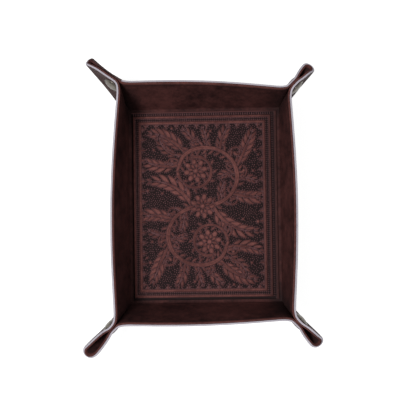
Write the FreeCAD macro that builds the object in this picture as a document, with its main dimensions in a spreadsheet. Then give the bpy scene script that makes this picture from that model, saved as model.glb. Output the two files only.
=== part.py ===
# Folding dice tray.  One rectangular sheet, an outer leather bonded to a lining, is creased
# into a floor and four walls.  Each corner of the sheet is pinched outward into an ear of two
# halves, and a snap fastener through both halves holds it.
#
# The origin is the middle of the underside, +X the right of the tray, +Y its back, +Z up.
# Lengths are in millimetres and angles in degrees.
import FreeCAD, Part
import math
import operator
import os

import Sketcher
from FreeCAD import Matrix, Placement, Rotation, Vector

# The driving dimensions: alias and value.
SIZES = (
    # the creased sheet
    ("floor_half_x", 56.0),      # from the middle to a side crease, on the lining
    ("floor_half_y", 72.0),      # from the middle to an end crease, on the lining
    ("wall_reach", 35.0),        # from a crease to the rim, along the wall
    ("outer_thick", 1.4),        # the outer leather
    ("lining_thick", 1.2),       # the lining leather
    ("corner_clip", 8.0),        # cut off each corner of the sheet, along an edge
    # how the walls and ears stand when the snaps are closed
    ("end_lean", 72.0),          # the back and front walls, up from level
    ("side_lean", 82.0),         # the left and right walls, up from level
    ("end_bow", 2.6),            # how far an end wall's rim bulges outward
    ("side_bow", 4.0),           # how far a side wall's rim bulges outward
    ("ear_plan", 43.0),          # the ear's direction seen from above, from the X axis
    # running gaps
    ("bend_gap", 0.1),           # round a wall's rounded foot
    ("crease_gap", 0.03),        # between a wall and an ear half
    ("ear_gap", 0.15),           # from the ear's middle plane to either half
    ("fold_trim", 0.3),          # from the ear's fold line to either half
    ("fold_round", 2.0),         # the outer leather's round along the fold
    # the snap fastener, measured from the ear's middle plane
    ("snap_along", 30.0),        # its centre, along the fold from the floor's corner
    ("snap_across", 9.8),        # its centre, square from the fold
    ("seat_depth", 1.0),         # the recess that each inner part presses into the lining
    ("cap_radius", 6.0),
    ("cap_edge", 0.5),           # the cap's straight edge
    ("cap_rise", 2.0),           # the cap's whole height
    ("shank_radius", 1.5),
    ("shank_bore", 1.0),         # the hollow of the eyelet's shank
    ("shank_gap", 0.05),
    ("rivet_radius", 1.95),      # where a shank's end is rolled over
    ("rivet_thick", 0.12),
    ("socket_radius", 4.8),
    ("socket_base", 0.25),
    ("socket_bore", 2.55),
    ("socket_proud", 0.1),       # how far the socket stands off its lining
    ("groove_radius", 3.1),      # the socket's inner groove, where the spring lies
    ("groove_low", 0.24),
    ("groove_high", 0.58),
    ("spring_wire", 0.14),       # the spring wire's radius
    ("stud_radius", 4.5),
    ("stud_flange", 0.45),
    ("stud_neck", 2.05),
    ("stud_head", 2.3),
    ("stud_head_low", 0.2),
    ("stud_top", 0.4),
    ("eyelet_radius", 4.6),
    ("eyelet_rise", 0.7),
)

DOC = FreeCAD.newDocument("DiceTray")
SHEET = DOC.addObject("Spreadsheet::Sheet", "Sizes")
for row, (alias, number) in enumerate(SIZES, start=1):
    SHEET.set(f"A{row}", alias)
    SHEET.set(f"B{row}", str(number))
    SHEET.setAlias(f"B{row}", alias)
FOLDS = DOC.addObject("App::VarSet", "Folds")
DOC.recompute()


class Size:
    """A number together with the formula, in the sheet's aliases, that gives it."""

    def __init__(self, value, formula=None):
        self.value = float(value)
        self.formula = formula or f"({self.value:.6f})"

    @staticmethod
    def of(other):
        return other if isinstance(other, Size) else Size(other)

    def __neg__(self):
        return 0 - self


def arithmetic(sign, work):
    def forward(left, right):
        left = Size.of(left)
        right = Size.of(right)
        return Size(work(left.value, right.value), f"({left.formula} {sign} {right.formula})")

    return forward, lambda right, left: forward(left, right)


Size.__add__, Size.__radd__ = arithmetic("+", operator.add)
Size.__sub__, Size.__rsub__ = arithmetic("-", operator.sub)
Size.__mul__, Size.__rmul__ = arithmetic("*", operator.mul)
Size.__truediv__, Size.__rtruediv__ = arithmetic("/", operator.truediv)


def sin(angle):
    return Size(math.sin(math.radians(angle.value)), f"sin({angle.formula})")


def cos(angle):
    return Size(math.cos(math.radians(angle.value)), f"cos({angle.formula})")


def tan(angle):
    return Size(math.tan(math.radians(angle.value)), f"tan({angle.formula})")


def arctan(ratio):
    return Size(math.degrees(math.atan(ratio.value)), f"(atan({ratio.formula}) / 1deg)")


def arccos(ratio):
    return Size(math.degrees(math.acos(ratio.value)), f"(acos({ratio.formula}) / 1deg)")


def root(square):
    return Size(math.sqrt(square.value), f"sqrt({square.formula})")


def given(alias):
    return Size(SHEET.get(alias), f"Sizes.{alias}")


def derived(name, size):
    """Keep a size that follows from others under a name of its own."""
    FOLDS.addProperty("App::PropertyFloat", name)
    FOLDS.setExpression(name, size.formula)
    return Size(size.value, f"Folds.{name}")


HALF_X = given("floor_half_x")
HALF_Y = given("floor_half_y")
REACH = given("wall_reach")
OUTER = given("outer_thick")
LINING = given("lining_thick")
THICK = derived("thick", OUTER + LINING)
END_LEAN = given("end_lean")
SIDE_LEAN = given("side_lean")
BEND_GAP = given("bend_gap")
CREASE_GAP = given("crease_gap")
EAR_GAP = given("ear_gap")
FOLD_TRIM = given("fold_trim")

# The pinch crease is where an end wall's plane meets a side wall's: its direction, up from the
# floor's corner, in a corner where both X and Y point outward.
END_SLOPE = derived("end_slope", cos(END_LEAN) / sin(END_LEAN))
SIDE_SLOPE = derived("side_slope", cos(SIDE_LEAN) / sin(SIDE_LEAN))
PINCH_LENGTH = root(END_SLOPE * END_SLOPE + SIDE_SLOPE * SIDE_SLOPE + 1)
PINCH_X = derived("pinch_x", SIDE_SLOPE / PINCH_LENGTH)
PINCH_Y = derived("pinch_y", END_SLOPE / PINCH_LENGTH)
PINCH_Z = derived("pinch_z", 1 / PINCH_LENGTH)

# How far the pinch crease leans out within each wall, and what is left for the two ear halves.
END_FLARE = derived("end_flare", arctan(SIDE_SLOPE * sin(END_LEAN)))
SIDE_FLARE = derived("side_flare", arctan(END_SLOPE * sin(SIDE_LEAN)))
EAR_ANGLE = derived("ear_angle", (90 - END_FLARE - SIDE_FLARE) / 2)

# How far each ear half turns away from its wall's plane, about the pinch crease.
PLAN_X = cos(given("ear_plan"))
PLAN_Y = sin(given("ear_plan"))
PLAN_PINCH = derived("plan_pinch", PLAN_X * PINCH_X + PLAN_Y * PINCH_Y)
PLAN_FLAT = derived("plan_flat", root(1 - PLAN_PINCH * PLAN_PINCH))
END_FLAT = root(1 - PINCH_X * PINCH_X)
SIDE_FLAT = root(1 - PINCH_Y * PINCH_Y)
END_TURN = derived("end_turn", arccos((PLAN_X - PINCH_X * PLAN_PINCH) / (END_FLAT * PLAN_FLAT)))
SIDE_TURN = derived("side_turn", arccos((PLAN_Y - PINCH_Y * PLAN_PINCH) / (SIDE_FLAT * PLAN_FLAT)))


class Wall:
    """What an end wall or a side wall is made from."""

    def __init__(self, half, lean, bow, flare, turn):
        self.half = half
        self.lean = lean
        self.bow = bow
        self.flare = flare
        self.turn = turn

    def mitre(self, depth):
        """How much a panel draws back from the pinch crease at a depth under the lining."""
        return depth * tan(self.turn / 2) + CREASE_GAP


END = Wall(HALF_X, END_LEAN, given("end_bow"), END_FLARE, END_TURN)
SIDE = Wall(HALF_Y, SIDE_LEAN, given("side_bow"), SIDE_FLARE, SIDE_TURN)


def new_body(name):
    body = DOC.addObject("PartDesign::Body", name)
    body.Label = name
    return body


def new_sketch(body, plane, offset=0):
    """A sketch on one of the body's own planes, moved along the plane's normal."""
    offset = Size.of(offset)
    drawing = body.newObject("Sketcher::SketchObject", f"{body.Name}_sketch")
    planes = [feature for feature in body.Origin.OriginFeatures if feature.Role == plane]
    drawing.AttachmentSupport = [(planes[0], "")]
    drawing.MapMode = "FlatFace"
    drawing.AttachmentOffset = Placement(Vector(0, 0, offset.value), Rotation())
    drawing.setExpression("AttachmentOffset.Base.z", offset.formula)
    return drawing


def hold(drawing, kind, geometry, point, size):
    """Bind one coordinate of a point, or an arc's radius, to its formula."""
    size = Size.of(size)
    places = (geometry,) if point is None else (geometry, point)
    index = drawing.addConstraint(Sketcher.Constraint(kind, *places, size.value))
    drawing.setExpression(f"Constraints[{index}]", size.formula)


def turning_arc(start, middle, finish, anticlockwise):
    """The arc through three points, run anticlockwise as a sketch keeps its arcs."""
    circle = Part.Arc(start, middle, finish).toShape().Curve
    centre = circle.Center
    ends = (start, finish) if anticlockwise else (finish, start)
    angles = [math.atan2(end.y - centre.y, end.x - centre.x) for end in ends]
    return Part.ArcOfCircle(Part.Circle(centre, Vector(0, 0, 1), circle.Radius), *angles)


def draw_outline(drawing, corners, arcs=None):
    """A closed outline through the corners.  arcs maps an edge's number to a point on the
    arc that takes the straight edge's place, and the arc's radius."""
    arcs = arcs or {}
    points = [Vector(Size.of(x).value, Size.of(y).value, 0) for x, y in corners]
    edges = []
    for number, start in enumerate(points):
        finish = points[(number + 1) % len(points)]
        if number in arcs:
            (middle_x, middle_y), radius = arcs[number]
            middle = Vector(Size.of(middle_x).value, Size.of(middle_y).value, 0)
            anticlockwise = (middle - start).cross(finish - middle).z > 0
            edge = turning_arc(start, middle, finish, anticlockwise)
            index = drawing.addGeometry(edge, False)
            edges.append((index, 1, 2) if anticlockwise else (index, 2, 1))
            hold(drawing, "Radius", index, None, radius)
        else:
            index = drawing.addGeometry(Part.LineSegment(start, finish), False)
            edges.append((index, 1, 2))
    for number, (index, first, last) in enumerate(edges):
        following = edges[(number + 1) % len(edges)]
        drawing.addConstraint(Sketcher.Constraint("Coincident", index, last, *following[:2]))
        hold(drawing, "DistanceX", index, first, corners[number][0])
        hold(drawing, "DistanceY", index, first, corners[number][1])


def draw_circle(drawing, x, y, radius):
    centre = Vector(Size.of(x).value, Size.of(y).value, 0)
    index = drawing.addGeometry(Part.Circle(centre, Vector(0, 0, 1), radius.value), False)
    hold(drawing, "Radius", index, None, radius)
    hold(drawing, "DistanceX", index, 3, x)
    hold(drawing, "DistanceY", index, 3, y)


def extrude(body, drawing, length, kind="Pad", side="One side", reverse=False):
    feature = body.newObject(f"PartDesign::{kind}", f"{body.Name}_{kind.lower()}")
    feature.Profile = drawing
    feature.SideType = side
    feature.Reversed = reverse
    length = Size.of(length)
    feature.Length = length.value
    feature.setExpression("Length", length.formula)
    return feature


def loft(body, first, last):
    feature = body.newObject("PartDesign::AdditiveLoft", f"{body.Name}_loft")
    feature.Profile = first
    feature.Sections = [last]
    feature.Ruled = True
    return feature


def revolve(body, corners, arcs=None):
    """Turn a profile, as radius and height, about the body's Z axis."""
    drawing = new_sketch(body, "XZ_Plane")
    draw_outline(drawing, corners, arcs)
    feature = body.newObject("PartDesign::Revolution", f"{body.Name}_revolution")
    feature.Profile = drawing
    feature.ReferenceAxis = (drawing, ["V_Axis"])
    feature.Angle = 360
    return body


def frame(origin, x_axis, y_axis, z_axis):
    """The placement with these three axes, each square to the others."""
    columns = [Vector(*axis) for axis in (x_axis, y_axis, z_axis)]
    rows = [[column[row] for column in columns] + [origin[row]] for row in range(3)]
    return Placement(Matrix(*rows[0], *rows[1], *rows[2], 0, 0, 0, 1))


def make_floor():
    """The lining ends at the creases.  The outer leather's edges are hollowed for the walls'
    rounded feet, which turn in them."""
    lining = new_body("floor_lining")
    drawing = new_sketch(lining, "XY_Plane", OUTER)
    corners = ((-HALF_X, -HALF_Y), (HALF_X, -HALF_Y), (HALF_X, HALF_Y), (-HALF_X, HALF_Y))
    draw_outline(drawing, corners)
    extrude(lining, drawing, LINING)

    outer = new_body("floor_outer")
    drawing = new_sketch(outer, "XY_Plane")
    draw_outline(drawing, corners)
    extrude(outer, drawing, OUTER)
    DOC.recompute()
    for plane, across, along in (("XZ_Plane", HALF_X, HALF_Y), ("YZ_Plane", HALF_Y, HALF_X)):
        hollow = new_sketch(outer, plane)
        for side in (-1, 1):
            draw_circle(hollow, side * across, THICK, THICK + BEND_GAP)
        length = 2 * (along - THICK) + 2 * BEND_GAP
        extrude(outer, hollow, length, "Pocket", "Symmetric")


def bow_radius(half_chord, bow):
    return (half_chord * half_chord + bow * bow) / (2 * bow)


def wall_section(body, wall, along, shallow, deep, bow):
    """One end of a wall layer, square to the wall, at a distance up from the crease."""
    drawing = new_sketch(body, "XZ_Plane", -along)
    widths = []
    for depth in (shallow, deep):
        widths.append(wall.half + along * tan(wall.flare) - wall.mitre(depth) / cos(wall.flare))
    top, bottom = widths
    corners = ((-top, -shallow), (top, -shallow), (bottom, -deep), (-bottom, -deep))
    arcs = None
    if bow:
        arcs = {0: ((0, -shallow - bow), bow_radius(top, bow)),
                2: ((0, -deep - bow), bow_radius(bottom, bow))}
    draw_outline(drawing, corners, arcs)
    return drawing


def make_wall(place, wall, crease, quarter_turns):
    """The two layers of one wall.  A layer is drawn flat, hinged on the lining's crease at
    the origin, and then raised to the wall's lean."""
    turn = Rotation(Vector(0, 0, 1), 90 * quarter_turns)
    lean = Rotation(Vector(1, 0, 0), wall.lean.value)
    foot = turn.multVec(Vector(0, crease.value, THICK.value))
    stand = Placement(foot, turn.multiply(lean))

    for name, shallow, deep in (("lining", Size(0), LINING), ("outer", LINING, THICK)):
        body = new_body(f"wall_{place}_{name}")
        foot_end = wall_section(body, wall, Size(0), shallow, deep, None)
        rim_end = wall_section(body, wall, REACH, shallow, deep, wall.bow)
        loft(body, foot_end, rim_end)
        if name == "outer":
            round_foot(body, wall)
        body.Placement = stand


def round_foot(body, wall):
    """Under the crease the outer leather bends round to the floor: a segment of a disc about
    the crease, which slides into the floor's hollow edge as the wall folds flat."""
    top = LINING + BEND_GAP / 2
    inner = root(THICK * THICK - top * top)
    middle = math.sqrt(0.5)
    drawing = new_sketch(body, "YZ_Plane")
    corners = ((0, -top), (-inner, -top), (0, -THICK))
    bulge = (-THICK * middle, -THICK * middle)
    draw_outline(drawing, corners, {1: (bulge, THICK)})
    extrude(body, drawing, 2 * (wall.half - THICK), side="Symmetric")


def ear_corner_points(wall, depth, trim):
    """An ear half's outline at a depth under the lining, with X along the fold from the
    floor's corner and Y across it to the pinch crease: where the pinch crease starts and
    where it meets the rim, and the two ends of the clipped corner, the last on the fold."""
    side = wall.mitre(depth)
    lean = wall.flare + EAR_ANGLE
    clip = REACH - given("corner_clip")
    low = ((side + trim * cos(EAR_ANGLE)) / sin(EAR_ANGLE), trim)
    rim = ((side * sin(lean) + REACH * cos(EAR_ANGLE)) / cos(wall.flare),
           (REACH * sin(EAR_ANGLE) - side * cos(lean)) / cos(wall.flare))
    tip = (clip * sin(lean) + REACH * cos(lean), REACH * sin(lean) - clip * cos(lean))
    return low, rim, tip, (fold_length(wall, trim), trim)


def fold_length(wall, across):
    """How far from the floor's corner the clipped corner meets a line beside the fold."""
    lean = wall.flare + EAR_ANGLE
    clip = 2 * REACH - given("corner_clip")
    return (clip - across * (sin(lean) - cos(lean))) / (sin(lean) + cos(lean))


def ear_plate(body, wall, hand, shallow, deep, trim):
    """A flat plate between two depths.  hand is the side of the body's XY plane that the
    lining faces."""
    sections = []
    for depth in (shallow, deep):
        drawing = new_sketch(body, "XY_Plane", -hand * depth)
        draw_outline(drawing, ear_corner_points(wall, depth, trim))
        sections.append(drawing)
    loft(body, *sections)


def ear_hole(body, hand, radius, shallow, deep):
    """A round hole for the snap between two depths."""
    drawing = new_sketch(body, "XY_Plane", -hand * shallow)
    draw_circle(drawing, given("snap_along"), given("snap_across"), radius)
    extrude(body, drawing, deep - shallow, "Pocket", reverse=hand < 0)


def round_fold(body, hand):
    """Round the outer leather's edge along the fold."""
    radius = given("fold_round")
    near = FOLD_TRIM
    far = FOLD_TRIM + radius
    face = -hand * THICK
    start = -hand * (THICK - radius)
    beyond = -hand * (THICK + radius)
    bulge = (far - radius * math.sqrt(0.5), -hand * (THICK - radius + radius * math.sqrt(0.5)))
    drawing = new_sketch(body, "YZ_Plane")
    corners = ((far, face), (near, start), (near - radius, start), (near - radius, beyond),
               (far, beyond))
    draw_outline(drawing, corners, {0: (bulge, radius)})
    extrude(body, drawing, 4 * REACH, "Pocket", "Symmetric")


def make_ear_outer(name, wall, hand):
    """The outer leather wraps round the fold, over the lining's edge, to the middle plane."""
    body = new_body(f"{name}_outer")
    ear_plate(body, wall, hand, LINING, THICK, FOLD_TRIM)
    wrap = FOLD_TRIM + OUTER - BEND_GAP
    side = wall.mitre(LINING)
    starts = [(side + across * cos(EAR_ANGLE)) / sin(EAR_ANGLE) for across in (FOLD_TRIM, wrap)]
    drawing = new_sketch(body, "XY_Plane", -hand * LINING)
    draw_outline(drawing, (
        (starts[0], FOLD_TRIM),
        (starts[1], wrap),
        (fold_length(wall, wrap), wrap),
        (fold_length(wall, FOLD_TRIM), FOLD_TRIM),
    ))
    extrude(body, drawing, LINING - EAR_GAP, reverse=hand < 0)
    round_fold(body, hand)
    ear_hole(body, hand, given("shank_radius") + given("shank_gap"), LINING, THICK)
    return body


def make_ear_lining(name, wall, hand, seat_radius):
    body = new_body(f"{name}_lining")
    ear_plate(body, wall, hand, EAR_GAP, LINING, FOLD_TRIM + OUTER)
    ear_hole(body, hand, given("shank_radius") + given("shank_gap"), EAR_GAP, LINING)
    ear_hole(body, hand, seat_radius + BEND_GAP, EAR_GAP, given("seat_depth"))
    return body


def corner_frames(side_x, side_y):
    """The floor's corner, and the ear's axes there: out along the fold, in the ear's plane
    from the fold to the pinch crease, and square to the ear towards the side wall."""
    corner = Vector(side_x * HALF_X.value, side_y * HALF_Y.value, THICK.value)
    pinch = Vector(side_x * PINCH_X.value, side_y * PINCH_Y.value, PINCH_Z.value).normalize()
    plan = Vector(side_x * PLAN_X.value, side_y * PLAN_Y.value, 0)
    out = (plan - pinch * plan.dot(pinch)).normalize()
    cosine = cos(EAR_ANGLE).value
    sine = sin(EAR_ANGLE).value
    fold = pinch * cosine + out * sine
    inward = pinch * sine - out * cosine
    across = fold.cross(inward)
    if across.dot(Vector(side_x, 0, 0)) < 0:
        across = -across
    return corner, fold, inward, across


def make_cap(corner):
    """A domed cap on the side wall's half, with a shank that is rolled over in the socket."""
    edge = THICK + given("cap_edge")
    top = THICK + given("cap_rise")
    dome = given("cap_rise") - given("cap_edge")
    radius = given("cap_radius")
    ball = bow_radius(radius, dome)
    roll = given("seat_depth") - given("socket_base")
    end = roll - given("rivet_thick")
    slope = math.sin(math.radians(45))
    fillet_point = (radius * slope, top - ball + root(ball * ball - radius * radius * 0.5))
    return revolve(new_body(f"snap_{corner}_cap"), (
        (0, end),
        (given("rivet_radius"), end),
        (given("rivet_radius"), roll),
        (given("shank_radius"), roll),
        (given("shank_radius"), THICK),
        (radius, THICK),
        (radius, edge),
        (0, top),
    ), {6: (fillet_point, ball)})


def make_socket(corner):
    """A ring with a base, sunk in the lining of the side wall's half, grooved for a spring."""
    base = given("seat_depth") - given("socket_base")
    rim = EAR_GAP - given("socket_proud")
    hole = given("shank_radius") + given("shank_gap")
    return revolve(new_body(f"snap_{corner}_socket"), (
        (hole, given("seat_depth")),
        (given("socket_radius"), given("seat_depth")),
        (given("socket_radius"), rim),
        (given("socket_bore"), rim),
        (given("socket_bore"), given("groove_low")),
        (given("groove_radius"), given("groove_low")),
        (given("groove_radius"), given("groove_high")),
        (given("socket_bore"), given("groove_high")),
        (given("socket_bore"), base),
        (hole, base),
    ))


def make_spring(corner):
    """The wire ring in the socket's groove: round a square section's corners it would be the
    same, so its section is a circle."""
    wire = given("spring_wire")
    body = new_body(f"snap_{corner}_spring")
    drawing = new_sketch(body, "XZ_Plane")
    middle = (given("groove_low") + given("groove_high")) / 2
    draw_circle(drawing, given("groove_radius") - wire - given("shank_gap"), middle, wire)
    feature = body.newObject("PartDesign::Revolution", f"{body.Name}_revolution")
    feature.Profile = drawing
    feature.ReferenceAxis = (drawing, ["V_Axis"])
    feature.Angle = 360
    return body


def make_stud(corner):
    """A flanged stud sunk in the lining of the end wall's half, with a head that enters the
    socket, bored for the eyelet's shank."""
    seat = -given("seat_depth")
    flange = seat + given("stud_flange")
    hole = given("shank_radius") + given("shank_gap")
    return revolve(new_body(f"snap_{corner}_stud"), (
        (hole, seat),
        (given("stud_radius"), seat),
        (given("stud_radius"), flange),
        (given("stud_neck"), flange),
        (given("stud_neck"), given("stud_head_low") - 0.1),
        (given("stud_head"), given("stud_head_low")),
        (given("stud_head"), given("stud_top")),
        (hole, given("stud_top")),
    ))


def make_eyelet(corner):
    """A hollow rivet on the outer face of the end wall's half, rolled over on the stud."""
    face = -THICK
    crown = face - given("eyelet_rise")
    lip = face - given("eyelet_rise") / 3
    top = given("stud_top") + given("rivet_thick")
    bore = given("shank_bore")
    return revolve(new_body(f"snap_{corner}_eyelet"), (
        (bore, crown),
        (given("eyelet_radius") - given("eyelet_rise"), crown),
        (given("eyelet_radius"), lip),
        (given("eyelet_radius"), face),
        (given("shank_radius"), face),
        (given("shank_radius"), given("stud_top")),
        (given("rivet_radius"), given("stud_top")),
        (given("rivet_radius"), top),
        (bore, top),
    ))


def make_corner(name, side_x, side_y):
    """The two ear halves of one corner and the snap through them."""
    corner, fold, inward, across = corner_frames(side_x, side_y)
    normal = fold.cross(inward)
    plate = frame(corner, fold, inward, normal)
    facing = 1 if normal.dot(across) > 0 else -1
    halves = (
        (f"ear_{name}_end", END, facing, given("stud_radius")),
        (f"ear_{name}_side", SIDE, -facing, given("socket_radius")),
    )
    for label, wall, hand, seat in halves:
        for body in (make_ear_outer(label, wall, hand), make_ear_lining(label, wall, hand, seat)):
            body.Placement = plate

    middle = corner + fold * SHEET.get("snap_along") + inward * SHEET.get("snap_across")
    if facing > 0:
        snap = frame(middle, fold, inward, across)
    else:
        snap = frame(middle, inward, fold, across)
    for make in (make_cap, make_socket, make_spring, make_stud, make_eyelet):
        make(name).Placement = snap


make_floor()
make_wall("back", END, HALF_Y, 0)
make_wall("left", SIDE, HALF_X, 1)
make_wall("front", END, HALF_Y, 2)
make_wall("right", SIDE, HALF_X, 3)
make_corner("back_left", -1, 1)
make_corner("back_right", 1, 1)
make_corner("front_left", -1, -1)
make_corner("front_right", 1, -1)
DOC.recompute()

for thing in DOC.Objects:
    if "Invalid" in thing.State or "Error" in thing.State:
        raise ValueError(f"{thing.Name} failed: {thing.State}")

os.makedirs("parts", exist_ok=True)
BODIES = [thing for thing in DOC.Objects if thing.TypeId == "PartDesign::Body"]
for body in BODIES:
    shape = body.Shape
    if shape.isNull() or not shape.isValid() or len(shape.Solids) != 1:
        raise ValueError(f"{body.Label} is not one valid solid")
    shape.exportStep(f"parts/{body.Label}.step")
    print(f"{body.Label}: {shape.Volume:.1f} cubic mm")
print(f"{len(BODIES)} sub-parts")
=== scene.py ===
"""Folding dice tray: two layers of leather, creased into a floor and four walls, with the
corners pinched outward into ears that snap fasteners hold."""
import math

import bmesh
import bpy
import numpy as np
from bpy.props import FloatProperty, FloatVectorProperty, IntProperty, PointerProperty
from mathutils import Matrix, Vector


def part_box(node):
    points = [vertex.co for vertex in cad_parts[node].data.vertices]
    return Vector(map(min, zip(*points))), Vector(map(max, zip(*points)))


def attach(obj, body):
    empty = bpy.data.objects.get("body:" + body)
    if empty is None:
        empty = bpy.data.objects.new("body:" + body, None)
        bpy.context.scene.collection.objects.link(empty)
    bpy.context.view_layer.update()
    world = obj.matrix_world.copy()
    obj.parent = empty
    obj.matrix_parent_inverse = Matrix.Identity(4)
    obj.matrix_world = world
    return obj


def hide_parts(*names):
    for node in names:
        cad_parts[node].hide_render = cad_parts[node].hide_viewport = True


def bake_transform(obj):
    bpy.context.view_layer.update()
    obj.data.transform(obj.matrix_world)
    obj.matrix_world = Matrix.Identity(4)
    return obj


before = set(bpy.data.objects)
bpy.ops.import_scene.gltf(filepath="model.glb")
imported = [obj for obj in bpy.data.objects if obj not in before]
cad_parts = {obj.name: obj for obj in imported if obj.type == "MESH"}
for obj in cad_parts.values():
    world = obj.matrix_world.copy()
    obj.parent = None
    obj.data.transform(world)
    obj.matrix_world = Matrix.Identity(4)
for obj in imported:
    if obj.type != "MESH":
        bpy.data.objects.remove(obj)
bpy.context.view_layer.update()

bl_info = {
    "name": "Folding dice tray",
    "version": (1, 0, 0),
    "blender": (4, 5, 0),
    "location": "3D View > Sidebar > Dice tray",
    "description": "Builds a folding leather dice tray with a tooled floor and snapped corners",
    "category": "Object",
}

MM = 0.001
UP = np.array([0.0, 0.0, 1.0])
WHITE = (1, 1, 1, 1)
FLOOR_LOW, FLOOR_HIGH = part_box("floor_lining")

# which way each corner lies from the middle: right or left, and back or front
CORNERS = {
    "back_left": (-1, 1),
    "back_right": (1, 1),
    "front_left": (-1, -1),
    "front_right": (1, -1),
}
# each wall's kind, its quarter turns from the back wall, and the corners at its two ends
WALLS = {
    "back": ("end", 0, "back_left", "back_right"),
    "left": ("side", 1, "front_left", "back_left"),
    "front": ("end", 2, "front_right", "front_left"),
    "right": ("side", 3, "back_right", "front_right"),
}
# how each ear's fold is opened: the fold's inner radius low down and at the tip, and the
# angle at which its half closes again towards the rim at the tip, in degrees; then how far
# the tip is drawn out along the fold
EAR_OPENING = {
    "back_left": (1.7, 0.9, 7, 6.0),
    "back_right": (0.9, 2.1, 3, -1.0),
    "front_left": (0.7, 2.9, 2, 10.5),
    "front_right": (0.8, 2.5, 3, 3.5),
}
# how far the sheet leans at each corner of the rim
SETTLE = {
    "back_left": (3.4, 1.9, 0.0),
    "back_right": (-1.1, -3.2, 0.0),
    "front_left": (0.0, 1.1, 0.0),
    "front_right": (-1.0, 3.0, 0.0),
}
# how much of its bow each wall's rim has
BOW_SHARE = {"back": 1.0, "left": 1.0, "front": 0.8, "right": 0.85}
# how strong the painted shade is in each corner of the lining
CORNER_PAINTED_SHADE = {"back_left": 1.0, "back_right": 0.85, "front_left": 0.55, "front_right": 1.3}
# the one ear half whose cut edge is painted dark, in the outer leather, not the pale edge colour
DARK_EDGE = ("back_left", "end")
# ridges of the floor's border that run on to a wall's foot: height up the wall and relief
STAMPED_LINES = {
    "left": ((2.9, 0.28), (4.6, 0.18)),
    "front": ((2.4, 0.22),),
}
# the pinch's rounded bend: its least width, and how much of its width lies in the wall and
# in the ear
PINCH_WIDTH = 1.4
PINCH_IN_WALL = 1.25
PINCH_IN_EAR = 0.55
# how near an ear's halves come to its middle plane, and how softly they meet it
EAR_GAP = 0.15
EAR_SOFTNESS = 0.3
# the angle at which an ear half closes low down, in degrees
LOW_CLOSING = 30
# the round at each end of the clipped corner
CLIP_ROUND = 2.6

# each layer's front and back depth, the rounds of its cut edge, and the groove beside that
LAYERS = {
    "lining": (0.0, 1.2, 0.42, 0.1, 0.22),
    "outer": (1.2, 2.6, 0.12, 0.38, 0.0),
}
# the band beside the cut edge, and the first and the number of its rows on the edge itself
BAND = 3.4
EDGE_FIRST = 13
EDGE_ROWS = 8
# how finely the leather is divided: rows up a wall and an ear, and steps along their rims
WALL_ROWS = 44
EAR_ROWS = 41
WALL_STEP = 0.85
EAR_STEP = 0.55
# the angle between faces from which an edge is sharp: on bent leather and on other pieces
LEATHER_SHARP = 50
SHARP = 60

# the stamped border's outer line: left, right, front and back
BORDER = (-58.9, 55.3, -73.9, 72.7)
# how far inside that line the field begins, its carving, and its stippled ground
FIELD_INSET = 10.0
CARVED_INSET = 11.6
GROUND_INSET = 12.2
# how near beads may come, in pitches
BEAD_CLOSENESS = 0.93
# the border's ridges: inset, width and height
RIDGES = ((0.0, 0.55, 0.15), (2.2, 0.5, 0.16), (6.5, 0.5, 0.16), (10.9, 0.8, 0.16))
# its sunk bands, from inset to inset, and their depth
SUNK = ((3.1, 5.9), (7.1, 10.0))
SUNK_DEPTH = 0.80
BAR_INSET = 4.5
BAR_SIZE = (0.00115, 0.00050, 0.00060)
BEAD_INSETS = (7.85, 9.25)
FIELD_PITCH = 0.36
# the seam between the field and the border: width and height
SEAM = (0.25, -0.12)


def a_length(name, description, metres):
    return FloatProperty(
        name=name, description=description, default=metres, subtype="DISTANCE", unit="LENGTH")


def an_angle(name, description, radians):
    return FloatProperty(
        name=name, description=description, default=radians, subtype="ANGLE", unit="ROTATION")


def a_colour(name, description, *tone):
    return FloatVectorProperty(
        name=name, description=description, default=tone, subtype="COLOR", size=3, min=0, max=1)


class TraySheet(bpy.types.PropertyGroup):
    """The creased sheet of two leathers."""

    half_x: a_length("Half width", "From the middle to a side crease", FLOOR_HIGH.x)
    half_y: a_length("Half length", "From the middle to an end crease", FLOOR_HIGH.y)
    reach: a_length("Wall reach", "From a crease to the rim, along the wall", 0.035)
    outer: a_length("Outer leather", "Thickness of the outer leather", FLOOR_LOW.z)
    lining: a_length("Lining", "Thickness of the lining leather", FLOOR_HIGH.z - FLOOR_LOW.z)
    clip: a_length("Corner clip", "Cut off each corner of the sheet, along an edge", 0.008)
    end_lean: an_angle("End lean", "The back and front walls, up from level", math.radians(72))
    side_lean: an_angle("Side lean", "The left and right walls, up from level", math.radians(82))
    end_bow: a_length("End bow", "How far an end wall's rim bulges outward", 0.0026)
    side_bow: a_length("Side bow", "How far a side wall's rim bulges outward", 0.004)
    ear_plan: an_angle("Ear direction", "Seen from above, from the tray's width", math.radians(43))
    foot_fold: a_length("Foot fold", "Reach of the soft fold along a wall's foot", 0.0016)
    pinch_spread: an_angle("Pinch spread", "How fast the bend into an ear widens up the wall",
                           math.radians(12))


class TrayTooling(bpy.types.PropertyGroup):
    """What is stamped and carved into the floor."""

    relief: a_length("Relief", "How deep the ground lies under the motifs", 0.00085)
    bead: a_length("Bead", "Radius of one bead of the stippled ground", 0.00060)
    bead_pitch: a_length("Bead pitch", "Distance between beads of the ground", 0.00150)
    bar_pitch: a_length("Bar pitch", "Distance between the border's short bars", 0.00165)
    seed: IntProperty(
        name="Seed", description="Seed of the hand-made unevenness", default=7)


class TraySnap(bpy.types.PropertyGroup):
    """The snap fasteners."""

    along: a_length("Along the fold", "From the floor's corner to the snap", 0.030)
    across: a_length("Off the fold", "From the fold to the snap", 0.0098)
    cap_radius: a_length("Cap radius", "Radius of the domed cap", 0.006)
    cap_rise: a_length("Cap rise", "Height of the cap above the leather", 0.002)
    eyelet_radius: a_length("Eyelet radius", "Radius of the rivet's flange on the other face",
                            0.0046)
    eyelet_rise: a_length("Eyelet rise", "Height of the flange above the leather", 0.0007)


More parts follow.
